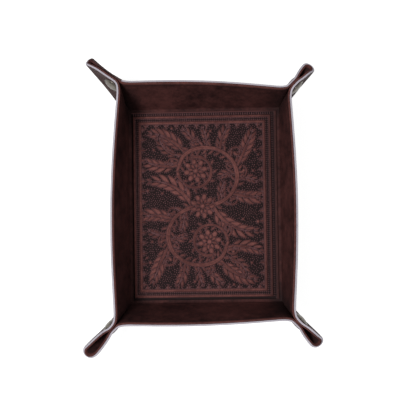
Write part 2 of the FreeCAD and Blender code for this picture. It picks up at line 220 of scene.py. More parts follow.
class TrayColours(bpy.types.PropertyGroup):
    """The colours of the leathers and the metal."""

    lining_dark: a_colour("Lining, dark", "The lining's deep tone", 0.0172, 0.0054, 0.0054)
    lining_light: a_colour("Lining, light", "The lining where it is rubbed", 0.077, 0.0255, 0.0232)
    # the pits' colour is painted shade in the stippled ground, and is also used for painted shade
    # in the lining's corners, crease lines and ear tips and on the floor's right side
    ground: a_colour("Ground", "The pits between the beads", 0.0110, 0.0058, 0.0062)
    # the beads' tops are lighter as painted light on them
    stipple: a_colour("Stipple", "The tops of the beads of the ground", 0.124, 0.056, 0.059)
    # the lighter tone of the motifs' tops and the lining's rims: partly rubbing, partly painted
    # highlight
    burnish_and_highlight: a_colour("Burnish", "The rubbed tops of the motifs", 0.178, 0.065, 0.057)
    outer_dark: a_colour("Outer leather, dark", "The leather in its grain", 0.023, 0.0145, 0.0145)
    outer_light: a_colour("Outer leather, light", "The leather's worn tone", 0.092, 0.058, 0.056)
    edge: a_colour("Cut edge", "The outer leather's pale cut edge", 0.41, 0.38, 0.425)
    metal: a_colour("Snap metal", "The snaps' aged nickel", 0.180, 0.162, 0.140)
    patina: a_colour("Patina", "The dark in the snaps' hollows", 0.055, 0.045, 0.035)


class TrayView(bpy.types.PropertyGroup):
    """The camera and the light."""

    place: FloatVectorProperty(
        name="Camera place", description="Where the camera stands",
        default=(0.01435, -0.01481, 0.52007), subtype="TRANSLATION", unit="LENGTH", size=3)
    tilt: FloatVectorProperty(
        name="Camera tilt", description="Turns about X, Y and Z, from straight down",
        default=(-0.0246, -0.0237, 0.0148), subtype="EULER", unit="ROTATION", size=3)
    reach: FloatProperty(
        name="Focal length", description="In widths of the picture", default=695.86 / 416)
    key: FloatProperty(
        name="Key light", description="Power of the soft light at the left", default=9.8)
    fill: FloatProperty(
        name="Fill", description="Strength of the light from all round", default=0.44)


GROUPS = {
    "tray_sheet": TraySheet,
    "tray_tooling": TrayTooling,
    "tray_snap": TraySnap,
    "tray_colours": TrayColours,
    "tray_view": TrayView,
}


def unit(vector):
    """The same direction, of length 1."""
    vector = np.asarray(vector, float)
    return vector / np.linalg.norm(vector, axis=-1, keepdims=True)


def ease(share):
    """A smooth step from 0 to 1."""
    share = np.clip(share, 0.0, 1.0)
    return share * share * (3 - 2 * share)


def ridge(place, middle, width, height):
    """A rounded ridge, or with a height below zero a groove."""
    return height * np.exp(-(((place - middle) / width) ** 2))


class Corner:
    """The directions of one pinched corner, in millimetres from the tray's middle."""

    def __init__(self, sheet, signs):
        signs = np.array([*signs, 1.0])
        self.foot = signs * (sheet.half["side"], sheet.half["end"], sheet.thick)
        self.pinch = unit(signs * (1 / math.tan(sheet.lean["side"]),
                                   1 / math.tan(sheet.lean["end"]), 1))
        plan = signs * (math.cos(sheet.ear_plan), math.sin(sheet.ear_plan), 0)
        self.out = unit(plan - self.pinch * (plan @ self.pinch))
        sine = math.sin(sheet.ear_angle)
        cosine = math.cos(sheet.ear_angle)
        self.fold = self.pinch * cosine + self.out * sine
        self.inward = self.pinch * sine - self.out * cosine
        across = np.cross(self.fold, self.inward)
        self.across = across if across[0] * signs[0] > 0 else -across

    def facing(self, kind):
        """Away from the ear's middle plane, on the side of that kind of wall."""
        return self.across if kind == "side" else -self.across


class Wall:
    """A wall's kind and ends, its crease's middle, and its axes: along, out, up and inner
    normal."""

    def __init__(self, sheet, place):
        self.kind, turns, *self.ends = WALLS[place]
        turned = turns * math.pi / 2
        self.along = np.array([math.cos(turned), math.sin(turned), 0.0])
        self.out = np.array([-math.sin(turned), math.cos(turned), 0.0])
        self.lean = sheet.lean[self.kind]
        self.up = self.out * math.cos(self.lean) + UP * math.sin(self.lean)
        self.inner = UP * math.cos(self.lean) - self.out * math.sin(self.lean)
        self.middle = self.out * sheet.half[self.kind] + UP * sheet.thick


class Sheet:
    """Where each point of the flat sheet lies once the tray stands."""

    def __init__(self):
        size = bpy.context.scene.tray_sheet
        self.half = {"side": size.half_x / MM, "end": size.half_y / MM}
        self.long = {"side": self.half["end"], "end": self.half["side"]}
        self.reach = size.reach / MM
        self.outer = size.outer / MM
        self.thick = self.outer + size.lining / MM
        self.clip = size.clip / MM
        self.lean = {"side": size.side_lean, "end": size.end_lean}
        self.bow = {"side": size.side_bow / MM, "end": size.end_bow / MM}
        self.ear_plan = size.ear_plan
        self.foot_fold = size.foot_fold / MM
        self.spread = math.sin(size.pinch_spread)
        self.flare = {kind: math.atan(math.sin(self.lean[kind]) / math.tan(self.lean[other]))
                      for kind, other in (("end", "side"), ("side", "end"))}
        self.ear_angle = (math.pi / 2 - sum(self.flare.values())) / 2
        self.corners = {name: Corner(self, signs) for name, signs in CORNERS.items()}
        self.walls = {place: Wall(self, place) for place in WALLS}

    def pinch_bend(self, wall, corner, distance, aside, depth):
        """How far the rounded bend moves a point off the sharp pinch, which is met at aside 0.
        The wall lies at aside below 0 and the ear half above it."""
        along = wall.along * (1 if wall.along @ corner.foot > 0 else -1)
        wall_out = unit(along - corner.pinch * (along @ corner.pinch))
        ear_inner = -corner.facing(wall.kind)
        width = np.sqrt(PINCH_WIDTH ** 2 + (self.spread * np.maximum(distance, 0)) ** 2)
        in_wall = width * PINCH_IN_WALL
        in_ear = width * PINCH_IN_EAR
        share = np.clip((aside + in_wall) / (in_wall + in_ear), 0, 1)[..., None]
        deep = depth[..., None]
        crease = -(wall.inner + ear_inner) / (1 + wall.inner @ ear_inner) * deep
        before = -wall_out * in_wall[..., None] - wall.inner * deep
        after = corner.out * in_ear[..., None] - ear_inner * deep
        bent = crease + share ** 2 * (after - crease) + (1 - share) ** 2 * (before - crease)
        beside = aside[..., None]
        sharp = np.where(beside < 0, wall_out * beside - wall.inner * deep,
                         corner.out * beside - ear_inner * deep)
        bending = (aside > -in_wall) & (aside < in_ear)
        return (bent - sharp) * (bending * ease(distance / 3))[..., None]

    def wall(self, place, across, height, depth):
        """Points of a wall: across from its middle, height up from its crease or below zero
        along the floor, and depth under the lining's face."""
        across, height, depth = np.broadcast_arrays(across, height, depth)
        wall = self.walls[place]
        long = self.long[wall.kind]
        flare = self.flare[wall.kind]
        sine = math.sin(wall.lean)
        cosine = math.cos(wall.lean)

        # the soft fold along the foot, which shrinks towards the corners
        fold = self.foot_fold * (0.12 + 0.88 * ease((long - np.abs(across)) / 9))
        share = np.clip((height + fold) / (2 * fold), 0, 1)
        climb = np.where(height > fold, height, fold * share ** 2)
        flat = np.where(height < -fold, height, -fold * (1 - share) ** 2) + climb * cosine
        turned = np.arctan2(share * sine, (1 - share) + share * cosine)
        normal = -wall.out * np.sin(turned)[..., None] + UP * np.cos(turned)[..., None]
        point = wall.middle + wall.along * across[..., None] + wall.out * flat[..., None]
        point = point + UP * (climb * sine)[..., None] - normal * depth[..., None]

        bulge = self.bow[wall.kind] * BOW_SHARE[place] * np.clip(height, 0, None) / self.reach
        width = long + np.maximum(height, 0) * math.tan(flare)
        bulge = bulge * np.clip(1 - (across / width) ** 2, 0, 1) ** 1.3
        point = point - wall.inner * bulge[..., None]

        for side, name in zip((-1, 1), wall.ends):
            beyond = side * across - long
            distance = beyond * math.sin(flare) + height * math.cos(flare)
            aside = beyond * math.cos(flare) - height * math.sin(flare)
            near = (side * across > 0) * (height > 0) * ease(distance / 3)
            shift = self.pinch_bend(wall, self.corners[name], distance,
                                    np.minimum(aside, -1e-9), depth)
            point = point + shift * near[..., None]
        return self.settle(point)

    def ear(self, name, kind, along, across, depth):
        """Points of an ear half: along the fold from the floor's corner, across it towards the
        pinch, and depth under the lining's face."""
        along, across, depth = np.broadcast_arrays(along, across, depth)
        corner = self.corners[name]
        facing = corner.facing(kind)
        point = corner.foot + corner.fold * along[..., None] + corner.inward * across[..., None]
        point = point + facing * depth[..., None]

        sine = math.sin(self.ear_angle)
        cosine = math.cos(self.ear_angle)
        aside = along * sine - across * cosine
        bend = self.pinch_bend(self.walls[self.wall_beside(name, kind)], corner,
                               along * cosine + across * sine, np.maximum(aside, 0), depth)

        back, apart = self.fold_section(name, along, across, depth)
        loose = ease(aside / 2.0)
        bend = bend * ease(across / (3 * sine))[..., None]
        point = point + bend + corner.inward * ((back - across) * loose)[..., None]
        point = point + facing * ((apart - depth) * loose)[..., None]
        drawn = EAR_OPENING[name][3] * ease((aside - 8) / 15)
        return self.settle(point + corner.fold * drawn[..., None], self.hold(aside))

    def wall_beside(self, name, kind):
        """The wall of that kind that ends at a corner."""
        return next(place for place, wall in WALLS.items() if wall[0] == kind and name in wall[2:])

    def fold_section(self, name, along, across, depth):
        """The teardrop of an ear half square to its fold: how far a point lies from the fold
        line and from the ear's middle plane."""
        low, tip, closing = EAR_OPENING[name][:3]
        share = ease((along - 24) / 20)
        radius = (low + (tip - low) * share) * np.clip(along / 9, 0.04, 1)
        closing = np.radians(LOW_CLOSING + (closing - LOW_CLOSING) * share)
        turn = math.pi / 2 + closing
        centre = radius * (turn - np.tan(closing / 2))
        curl = np.clip(across / radius, 0, turn)
        rest = np.maximum(across - radius * turn, 0)
        line = radius * np.sin(curl) - rest * np.sin(closing)
        back = centre - radius * np.cos(curl) + rest * np.cos(closing)
        # the two halves rest on each other where the closing line meets the middle plane
        over = (line - EAR_GAP) / EAR_SOFTNESS
        apart = np.where(curl < turn, line, EAR_GAP + EAR_SOFTNESS * np.logaddexp(0, over))
        lean = np.where(curl < turn, 1.0, 1 / (1 + np.exp(-np.clip(over, -40, 40))))
        turned = np.where(curl < turn, curl, math.pi / 2 + closing * lean)
        back = back * lean + across * (1 - lean)
        return back - depth * np.cos(turned), apart + depth * np.sin(turned)

    def ear_edge(self, kind):
        """The ear half's cut edge from the pinch, along the rim and the clipped corner, to the
        fold: points as along and across, and how far each stretch lies from the corner."""
        angle = self.flare[kind] + self.ear_angle
        sine = math.sin(angle)
        cosine = math.cos(angle)
        clip = self.reach - self.clip
        rim = self.reach / math.cos(self.flare[kind])
        start = np.array([rim * math.cos(self.ear_angle), rim * math.sin(self.ear_angle)])
        turn = np.array([clip * sine + self.reach * cosine, self.reach * sine - clip * cosine])
        last = np.array([(2 * self.reach - self.clip) / (sine + cosine), 0.0])
        bend_in = turn - unit(turn - start) * CLIP_ROUND
        bend_out = turn + unit(last - turn) * CLIP_ROUND
        steps = max(2, int(np.linalg.norm(bend_in - start) / EAR_STEP))
        points = [start + (bend_in - start) * n / steps for n in range(steps)]
        for share in np.linspace(0, 1, 9)[:-1]:
            points.append((1 - share) ** 2 * bend_in + 2 * share * (1 - share) * turn
                          + share ** 2 * bend_out)
        steps = max(2, int(np.linalg.norm(last - bend_out) / EAR_STEP))
        points += [bend_out + (last - bend_out) * (n / steps) ** 0.8 for n in range(steps + 1)]
        points = np.array(points)
        ways = unit(np.gradient(points, axis=0))
        return points, np.abs(points[:, 0] * ways[:, 1] - points[:, 1] * ways[:, 0])

    @staticmethod
    def hold(aside):
        """How much of its corner's lean an ear takes on, away from the pinch."""
        return 1 - 0.8 * ease(aside / 22)

    def ear_plane(self, corner, along, across):
        """Points of the plane between an ear's halves, once it has settled."""
        aside = along * math.sin(self.ear_angle) - across * math.cos(self.ear_angle)
        point = corner.foot + corner.fold * along[:, None] + corner.inward * across[:, None]
        return self.settle(point, self.hold(aside))

    def settle(self, point, hold=1.0):
        """The unevenness of a hand-folded tray: each corner and rim leans a little its own way."""
        lift = np.clip((point[..., 2] - self.thick) / self.reach, 0, 1.2)
        east = np.clip(point[..., 0] / self.half["side"], -1.6, 1.6) * 0.5 + 0.5
        north = np.clip(point[..., 1] / self.half["end"], -1.6, 1.6) * 0.5 + 0.5
        shift = np.zeros(point.shape)
        for name, (side_x, side_y) in CORNERS.items():
            share = (east if side_x > 0 else 1 - east) * (north if side_y > 0 else 1 - north)
            shift = shift + (share * ease(lift))[..., None] * np.array(SETTLE[name])
        return point + shift * np.asarray(hold)[..., None]


def arithmetic(operation, swapped=False):
    """An operator of Wire that adds a Math node."""
    def add_node(self, other):
        pair = [other, self] if swapped else [self, other]
        return self.nodes.node("ShaderNodeMath", {"operation": operation}, pair)
    return add_node


class Wire:
    """A number or colour that runs through a node tree."""

    def __init__(self, nodes, socket):
        self.nodes = nodes
        self.socket = socket

    __add__ = arithmetic("ADD")
    __radd__ = arithmetic("ADD", swapped=True)
    __sub__ = arithmetic("SUBTRACT")
    __rsub__ = arithmetic("SUBTRACT", swapped=True)
    __mul__ = arithmetic("MULTIPLY")
    __rmul__ = arithmetic("MULTIPLY", swapped=True)
    __truediv__ = arithmetic("DIVIDE")
    __rtruediv__ = arithmetic("DIVIDE", swapped=True)

    def clamp(self):
        """Keep it between 0 and 1."""
        return self.nodes.node("ShaderNodeClamp", {}, [self, 0.0, 1.0])


class Nodes:
    """A node tree that is built up node by node."""

    def __init__(self, tree):
        self.tree = tree
        self.tree.nodes.clear()

    def node(self, kind, settings, values, output=0):
        """Add a node: its settings first, then the values or links of its sockets.  The
        setting called stops is a ramp's two greys and their positions."""
        node = self.tree.nodes.new(kind)
        for key, setting in settings.items():
            if key != "stops":
                setattr(node, key, setting)
                continue
            for element, (position, grey) in zip(node.color_ramp.elements, setting):
                element.position = position
                element.color = (grey, grey, grey, 1)
        pairs = values.items() if isinstance(values, dict) else enumerate(values)
        for key, value in pairs:
            if isinstance(value, Wire):
                self.tree.links.new(value.socket, node.inputs[key])
            else:
                node.inputs[key].default_value = value
        return Wire(self, node.outputs[output])

    def end(self, kind, wire):
        """Lead a wire to the tree's output."""
        self.tree.links.new(wire.socket, self.tree.nodes.new(kind).inputs[0])


class Recipe(Nodes):
    """One material's node tree."""

    def __init__(self, name):
        self.material = bpy.data.materials.new(name)
        self.material.use_nodes = True
        super().__init__(self.material.node_tree)
        self.place = self.node("ShaderNodeTexCoord", {}, {}, "Object")

    def noise(self, size, detail=2.0, roughness=0.5):
        """Cloudy noise whose features are about size millimetres across."""
        return self.node("ShaderNodeTexNoise", {}, {
            "Vector": self.place, "Scale": 1 / (size * MM), "Detail": detail,
            "Roughness": roughness})

    def cells(self, size):
        """How far a point lies from the border of its cell."""
        return self.node("ShaderNodeTexVoronoi", {"feature": "DISTANCE_TO_EDGE"}, {
            "Vector": self.place, "Scale": 1 / (size * MM)}, "Distance")

    def axis(self, name):
        """A point's place along X, Y or Z, in metres."""
        return self.node("ShaderNodeSeparateXYZ", {}, [self.place], name)

    def attribute(self, name):
        """A number that a piece holds at each of its points."""
        return self.node("ShaderNodeAttribute", {"attribute_name": name}, {}, "Fac")

    def ramp(self, value, *stops):
        """Grey that changes evenly from the first stop to the last."""
        return self.node("ShaderNodeValToRGB", {"stops": stops}, [value])

    def colours(self, share, first, second):
        """Mix two colours."""
        first = first if isinstance(first, Wire) else (*first, 1)
        second = second if isinstance(second, Wire) else (*second, 1)
        return self.node("ShaderNodeMix", {"data_type": "RGBA"},
                         {0: share, 6: first, 7: second}, 2)

    def bump(self, height, distance, strength):
        """A fine relief, distance millimetres high."""
        return self.node("ShaderNodeBump", {}, {
            "Height": height, "Distance": distance * MM, "Strength": strength})

    def finish(self, **sockets):
        """End the tree in a shader, whose sockets are named with underscores."""
        shader = self.node("ShaderNodeBsdfPrincipled", {}, {
            key.replace("_", " "): value for key, value in sockets.items()})
        self.end("ShaderNodeOutputMaterial", shader)
        return self.material


def make_lining(name, tooled):
    """Napped lining leather, lighter at its rims from wear and painted light, with painted shade
    in its corners, crease lines and ear tips; the tooled floor has painted shade in its depths and
    painted highlights on its tops.
    """
    colours = bpy.context.scene.tray_colours
    recipe = Recipe(name)
    clouds = recipe.noise(30, 2.0, 0.5)
    blotch = recipe.noise(8, 3.0, 0.6)
    mottle = recipe.noise(2.6, 4.0, 0.65)
    nap = recipe.noise(0.5, 3.0, 0.65)
    tone = recipe.ramp(clouds * 0.35 + blotch * 0.3 + mottle * 0.35, (0.40, 0.0), (0.62, 1.0))
    if tooled:
        sheet = bpy.context.scene.tray_sheet
        thick = (sheet.outer + sheet.lining) / MM
        height = recipe.axis("Z") / MM - thick
        east = recipe.axis("X") / sheet.half_x
        level = 0.5 + height / (2 * bpy.context.scene.tray_tooling.relief / MM)
        # painted shade in the pits between the beads and painted light on their tops, by height
        beads = recipe.ramp(level, (0.05, 0.0), (0.21, 1.0))
        raised = recipe.ramp(level + mottle * 0.1 - 0.05, (0.31, 0.0), (0.46, 1.0))
        # lighter motif tops, by height: partly real burnish, partly painted highlight
        worn = recipe.ramp(level + tone * 0.14 + mottle * 0.18, (0.63, 0.0), (0.86, 1.0))
        body = tuple(0.93 * part for part in colours.lining_light)
        top = recipe.colours(worn, body, colours.burnish_and_highlight)
        low = recipe.colours(beads, colours.ground, colours.stipple)
        # painted shade over the right side of the floor, in the pits' dark colour
        right_side_shade = recipe.ramp(east + mottle * 0.1 - 0.05, (0.72, 0.0), (0.92, 0.65))
        colour = recipe.colours(right_side_shade, recipe.colours(raised, low, top), colours.ground)
    else:
        colour = recipe.colours(tone, colours.lining_dark, colours.lining_light)
        # the attribute read here lightens the rims, partly wear and partly painted light, and
        # below zero gives painted shade in the corners, the crease lines and the ears' tips
        wear_and_shade = recipe.attribute("wear_and_shade")
        colour = recipe.colours((wear_and_shade * (0.15 + mottle * 0.5)).clamp(), colour, colours.burnish_and_highlight)
        # painted shade: towards the pits' dark colour where that attribute is below zero
        colour = recipe.colours((wear_and_shade * -1.0).clamp() * 0.8, colour, colours.ground)
    colour = recipe.colours(recipe.ramp(nap, (0.42, 0.0), (0.7, 0.45)), colour,
                            colours.lining_dark)
    return recipe.finish(
        Base_Color=colour, Roughness=recipe.ramp(mottle, (0.3, 0.66), (0.75, 0.84)),
        Specular_IOR_Level=0.12, Normal=recipe.bump(nap * 0.6 + mottle * 0.4, 0.22, 0.7))


def make_outer():
    """Grained outer leather, grey-brown, with worn high spots."""
    colours = bpy.context.scene.tray_colours
    recipe = Recipe("outer leather")
    clouds = recipe.noise(16, 3.0, 0.6)
    fine = recipe.noise(0.4, 3.0, 0.7)
    pebble = recipe.ramp(recipe.cells(0.75), (0.0, 0.0), (0.28, 1.0))
    tone = (clouds * 0.6 + fine * 0.25 + pebble * 0.25).clamp()
    share = recipe.ramp(tone, (0.36, 0.0), (0.74, 1.0))
    return recipe.finish(
        Base_Color=recipe.colours(share, colours.outer_dark, colours.outer_light),
        Roughness=recipe.ramp(fine, (0.3, 0.6), (0.8, 0.78)), Specular_IOR_Level=0.1,
        Normal=recipe.bump(pebble * 0.7 + fine * 0.3, 0.14, 0.6))


def make_edge():
    """The outer leather's pale cut edge, a little fibrous."""
    colours = bpy.context.scene.tray_colours
    recipe = Recipe("cut edge")
    fibres = recipe.noise(0.5, 4.0, 0.7)
    clouds = recipe.noise(9, 2.0)
    dull = tuple(0.72 * part for part in colours.edge)
    share = recipe.ramp(fibres * 0.6 + clouds * 0.4, (0.35, 0.0), (0.6, 1.0))
    return recipe.finish(
        Base_Color=recipe.colours(share, dull, colours.edge), Roughness=0.75,
        Specular_IOR_Level=0.3, Normal=recipe.bump(fibres, 0.1, 0.5))


def make_metal(name, dark):
    """Aged nickel with a dark patina where it is hollow."""
    colours = bpy.context.scene.tray_colours
    recipe = Recipe(name)
    spots = recipe.noise(1.6, 4.0, 0.6)
    scratches = recipe.noise(0.35, 2.0, 0.7)
    spotted = recipe.ramp(spots, (0.42, 0.0), (0.72, 1.0)) * 0.5 * dark
    share = (spotted + recipe.attribute("hollow")).clamp()
    return recipe.finish(
        Base_Color=recipe.colours(share, colours.metal, colours.patina), Metallic=1.0,
        Roughness=recipe.ramp(spots * 0.6 + scratches * 0.4, (0.3, 0.28), (0.75, 0.5)),
        Normal=recipe.bump(scratches, 0.05, 0.25))


MAKERS = {
    "lining": lambda: make_lining("lining leather", False),
    "tooled": lambda: make_lining("tooled lining", True),
    "outer": make_outer,
    "edge": make_edge,
    "metal": lambda: make_metal("snap metal", 1.0),
    "inner metal": lambda: make_metal("inner snap metal", 0.5),
}
MATERIALS = {}


def material(name):
    """The material of that name, made when it is first asked for."""
    if name not in MATERIALS:
        MATERIALS[name] = MAKERS[name]()
    return MATERIALS[name]


def make_piece(name, points, faces, looks, numbers=None, values=None, sharp=SHARP):
    """A mesh object from points in millimetres.  looks are its materials, numbers the
    material of each face, and values the float attributes of its points."""
    mesh = bpy.data.meshes.new(name)
    mesh.from_pydata((np.asarray(points).reshape(-1, 3) * MM).tolist(), [], faces)
    for look in looks:
        mesh.materials.append(material(look))
    if numbers is not None:
        mesh.polygons.foreach_set("material_index", np.asarray(numbers, np.int32))
    for key, numbers_at in (values or {}).items():
        layer = mesh.attributes.new(key, "FLOAT", "POINT")
        layer.data.foreach_set("value", np.asarray(numbers_at, np.float32).ravel())
    work = bmesh.new()
    work.from_mesh(mesh)
    bmesh.ops.remove_doubles(work, verts=work.verts, dist=2e-7)
    bmesh.ops.recalc_face_normals(work, faces=work.faces)
    work.to_mesh(mesh)
    work.free()
    mesh.polygons.foreach_set("use_smooth", [True] * len(mesh.polygons))
    mesh.set_sharp_from_angle(angle=math.radians(sharp))
    return link(name, mesh)


def link(name, data):
    """Add an object with this data to the scene."""
    thing = bpy.data.objects.new(name, data)
    bpy.context.scene.collection.objects.link(thing)
    return thing


def roll_faces(rows, columns):
    """The faces of a loop of rows carried over columns, closed at both ends, and which of
    them are on an end or between which rows."""
    index = np.arange(rows * columns).reshape(rows, columns)
    after = np.roll(index, -1, axis=0)
    quads = np.stack([index[:, :-1], index[:, 1:], after[:, 1:], after[:, :-1]], -1)
    faces = quads.reshape(-1, 4).tolist()
    places = np.repeat(np.arange(rows), columns - 1).tolist()
    for column_at, mark in ((0, -1), (columns - 1, -2)):
        loop = index[:, column_at].tolist()
        for n in range(rows // 2 - 1):
            faces.append([loop[n], loop[n + 1], loop[-2 - n], loop[-1 - n]])
            places.append(mark)
    return faces, np.array(places)


def ring_faces(rings, count, first=0):
    """The faces between closed rings of points."""
    index = first + np.arange(rings * count).reshape(rings, count)
    after = np.roll(index, -1, axis=1)
    return np.stack([index[:-1], after[:-1], after[1:], index[1:]], -1).reshape(-1, 4).tolist()


def edge_band(front, back, front_round, back_round, groove):
    """Half of a layer's section at the rim, from its front face over the cut edge to its back
    face: inset from the edge and depth.  groove is the crease line pressed beside the edge."""
    insets = (3.3, 3.0, 2.8, 2.6, 2.45, 2.3, 2.15, 2.0, 1.8, 1.55, 1.25, 0.95, 0.7)
    band = [(inset, front + ridge(inset, 2.3, 0.28, groove)) for inset in insets]
    turns = [math.pi / 2 * step / 5 for step in range(6)]
    band += [(front_round * (1 - math.sin(turn)), front + front_round * (1 - math.cos(turn)))
             for turn in turns]
    band += [(back_round * (1 - math.cos(turn)), back - back_round * (1 - math.sin(turn)))
             for turn in turns]
    return band + [(inset, back) for inset in (0.95, 2.3, 3.3)]


def rim_wear_and_shade(inset):
    """How much lighter the lining is beside its edge, partly from wear and partly painted light,
    or below zero the painted shade in the crease line there.
    """
    return ease((2.3 - inset) / 0.5) + ridge(inset, 2.45, 0.3, -1.4) + ridge(inset, 3.3, 0.8, -0.3)


def layer_rows(layer, stations):
    """A layer's section as rows of station, inset and depth: stations run from the foot to
    the band beside the edge, where insets take over."""
    front, back = LAYERS[layer][:2]
    rows = [(station, None, front) for station in stations]
    rows += [(None, inset, depth) for inset, depth in edge_band(*LAYERS[layer])]
    rows += [(station, None, back) for station in reversed(stations)]
    if len(rows) % 2:
        rows.append((stations[0], None, (front + back) / 2))
    return rows


def column(numbers):
    """An array with one number to a row."""
    return np.array(list(numbers))[:, None]


def on_edge(places, stations):
    """Which faces are on the cut edge, by the rows that they lie between."""
    first = len(stations) + EDGE_FIRST
    return ((places >= first) & (places < first + EDGE_ROWS)).astype(int)


class TRAY_OT_walls(bpy.types.Operator):
    """Raise the four walls, each of a lining and an outer leather that bend at the crease"""

    bl_idname = "tray.walls"
    bl_label = "Walls"

    def execute(self, context):
        sheet = Sheet()
        for place in WALLS:
            for layer in LAYERS:
                self.make_layer(sheet, place, layer)
        return {"FINISHED"}

    def make_layer(self, sheet, place, layer):
        wall = sheet.walls[place]
        fold = sheet.foot_fold
        stations = [-fold - 0.25, *(np.arange(-4, 5) / 4 * fold),
                    *np.linspace(fold, sheet.reach - BAND, WALL_ROWS)[1:]]
        rows = layer_rows(layer, stations)
        heights = column(sheet.reach - inset if height is None else height
                         for height, inset, _ in rows)
        depths = column(depth for _, _, depth in rows)
        if layer == "lining":
            for line, relief in STAMPED_LINES.get(place, ()):
                depths = depths - ridge(heights, line, 0.5, relief) * (depths < 0.05)
        long = sheet.long[wall.kind]
        width = (long + np.maximum(heights, 0) * math.tan(sheet.flare[wall.kind])
                 + np.minimum(heights, 0))
        # stations along the wall lie closer towards its ends
        even = np.linspace(-1, 1, int(long * 2 / WALL_STEP))
        across = (np.sin(even * math.pi / 2) * 0.25 + even * 0.75) * width
        points = sheet.wall(place, across, heights, depths)
        faces, places = roll_faces(len(rows), len(even))
        if layer == "outer":
            piece = make_piece(f"{place}_wall_outer", points, faces, ["outer", "edge"],
                               on_edge(places, stations), sharp=LEATHER_SHARP)
        else:
            wear_and_shade = rim_wear_and_shade(sheet.reach - heights)
            # painted shade in the lining towards each end of the wall, where it meets the ears,
            # fading towards the rim
            for side, name in zip((-1, 1), wall.ends):
                near = np.maximum(width - side * across, 0)
                corner_shade = CORNER_PAINTED_SHADE[name] * np.exp(-(near / 9) ** 1.6)
                wear_and_shade = wear_and_shade - corner_shade * ease((sheet.reach - 1 - heights) / 9)
            piece = make_piece(f"{place}_wall_lining", points, faces, ["lining"],
                               values={"wear_and_shade": wear_and_shade * (depths < 1.0)}, sharp=LEATHER_SHARP)
        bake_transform(piece)
        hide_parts(f"wall_{place}_{layer}")


class TRAY_OT_ears(bpy.types.Operator):
    """Fold the eight ear halves out of the walls' ends"""

    bl_idname = "tray.ears"
    bl_label = "Ears"

    def execute(self, context):
        sheet = Sheet()
        for name in CORNERS:
            for kind in ("end", "side"):
                for layer in LAYERS:
                    self.make_layer(sheet, name, kind, layer)
        return {"FINISHED"}

    def make_layer(self, sheet, name, kind, layer):
        stations = [0.0, 0.015, 0.035, *np.linspace(0, 1, EAR_ROWS)[1:-1]]
        rows = layer_rows(layer, stations)
        edge_points, away = sheet.ear_edge(kind)
        shares = np.array([1 - inset / away if share is None else share * (1 - BAND / away)
                           for share, inset, _ in rows])
        depths = column(depth for _, _, depth in rows)
        along = shares * edge_points[:, 0]
        across = shares * edge_points[:, 1]
        points = sheet.ear(name, kind, along, across, depths)
        faces, places = roll_faces(len(rows), len(edge_points))
        piece_name = f"{name}_ear_{kind}_{layer}"
        if layer == "outer":
            numbers = on_edge(places, stations) * ((name, kind) != DARK_EDGE)
            numbers[places == -2] = 2
            piece = make_piece(piece_name, points, faces, ["outer", "edge", "lining"], numbers,
                               sharp=LEATHER_SHARP)
        else:
            insets = column(9.0 if inset is None else inset for _, inset, _ in rows)
            # painted shade in the lining where the fold opens at the tip
            tip_shade = np.exp(-(across / 6) ** 2) * ease((along - 22) / 16)
            wear_and_shade = (rim_wear_and_shade(insets) - 0.75 * tip_shade) * (depths < 1.0)
            piece = make_piece(piece_name, points, faces, ["lining"],
                               values={"wear_and_shade": wear_and_shade}, sharp=LEATHER_SHARP)
        wall = sheet.wall_beside(name, kind)
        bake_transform(piece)
        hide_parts(f"ear_{name}_{kind}_{layer}")


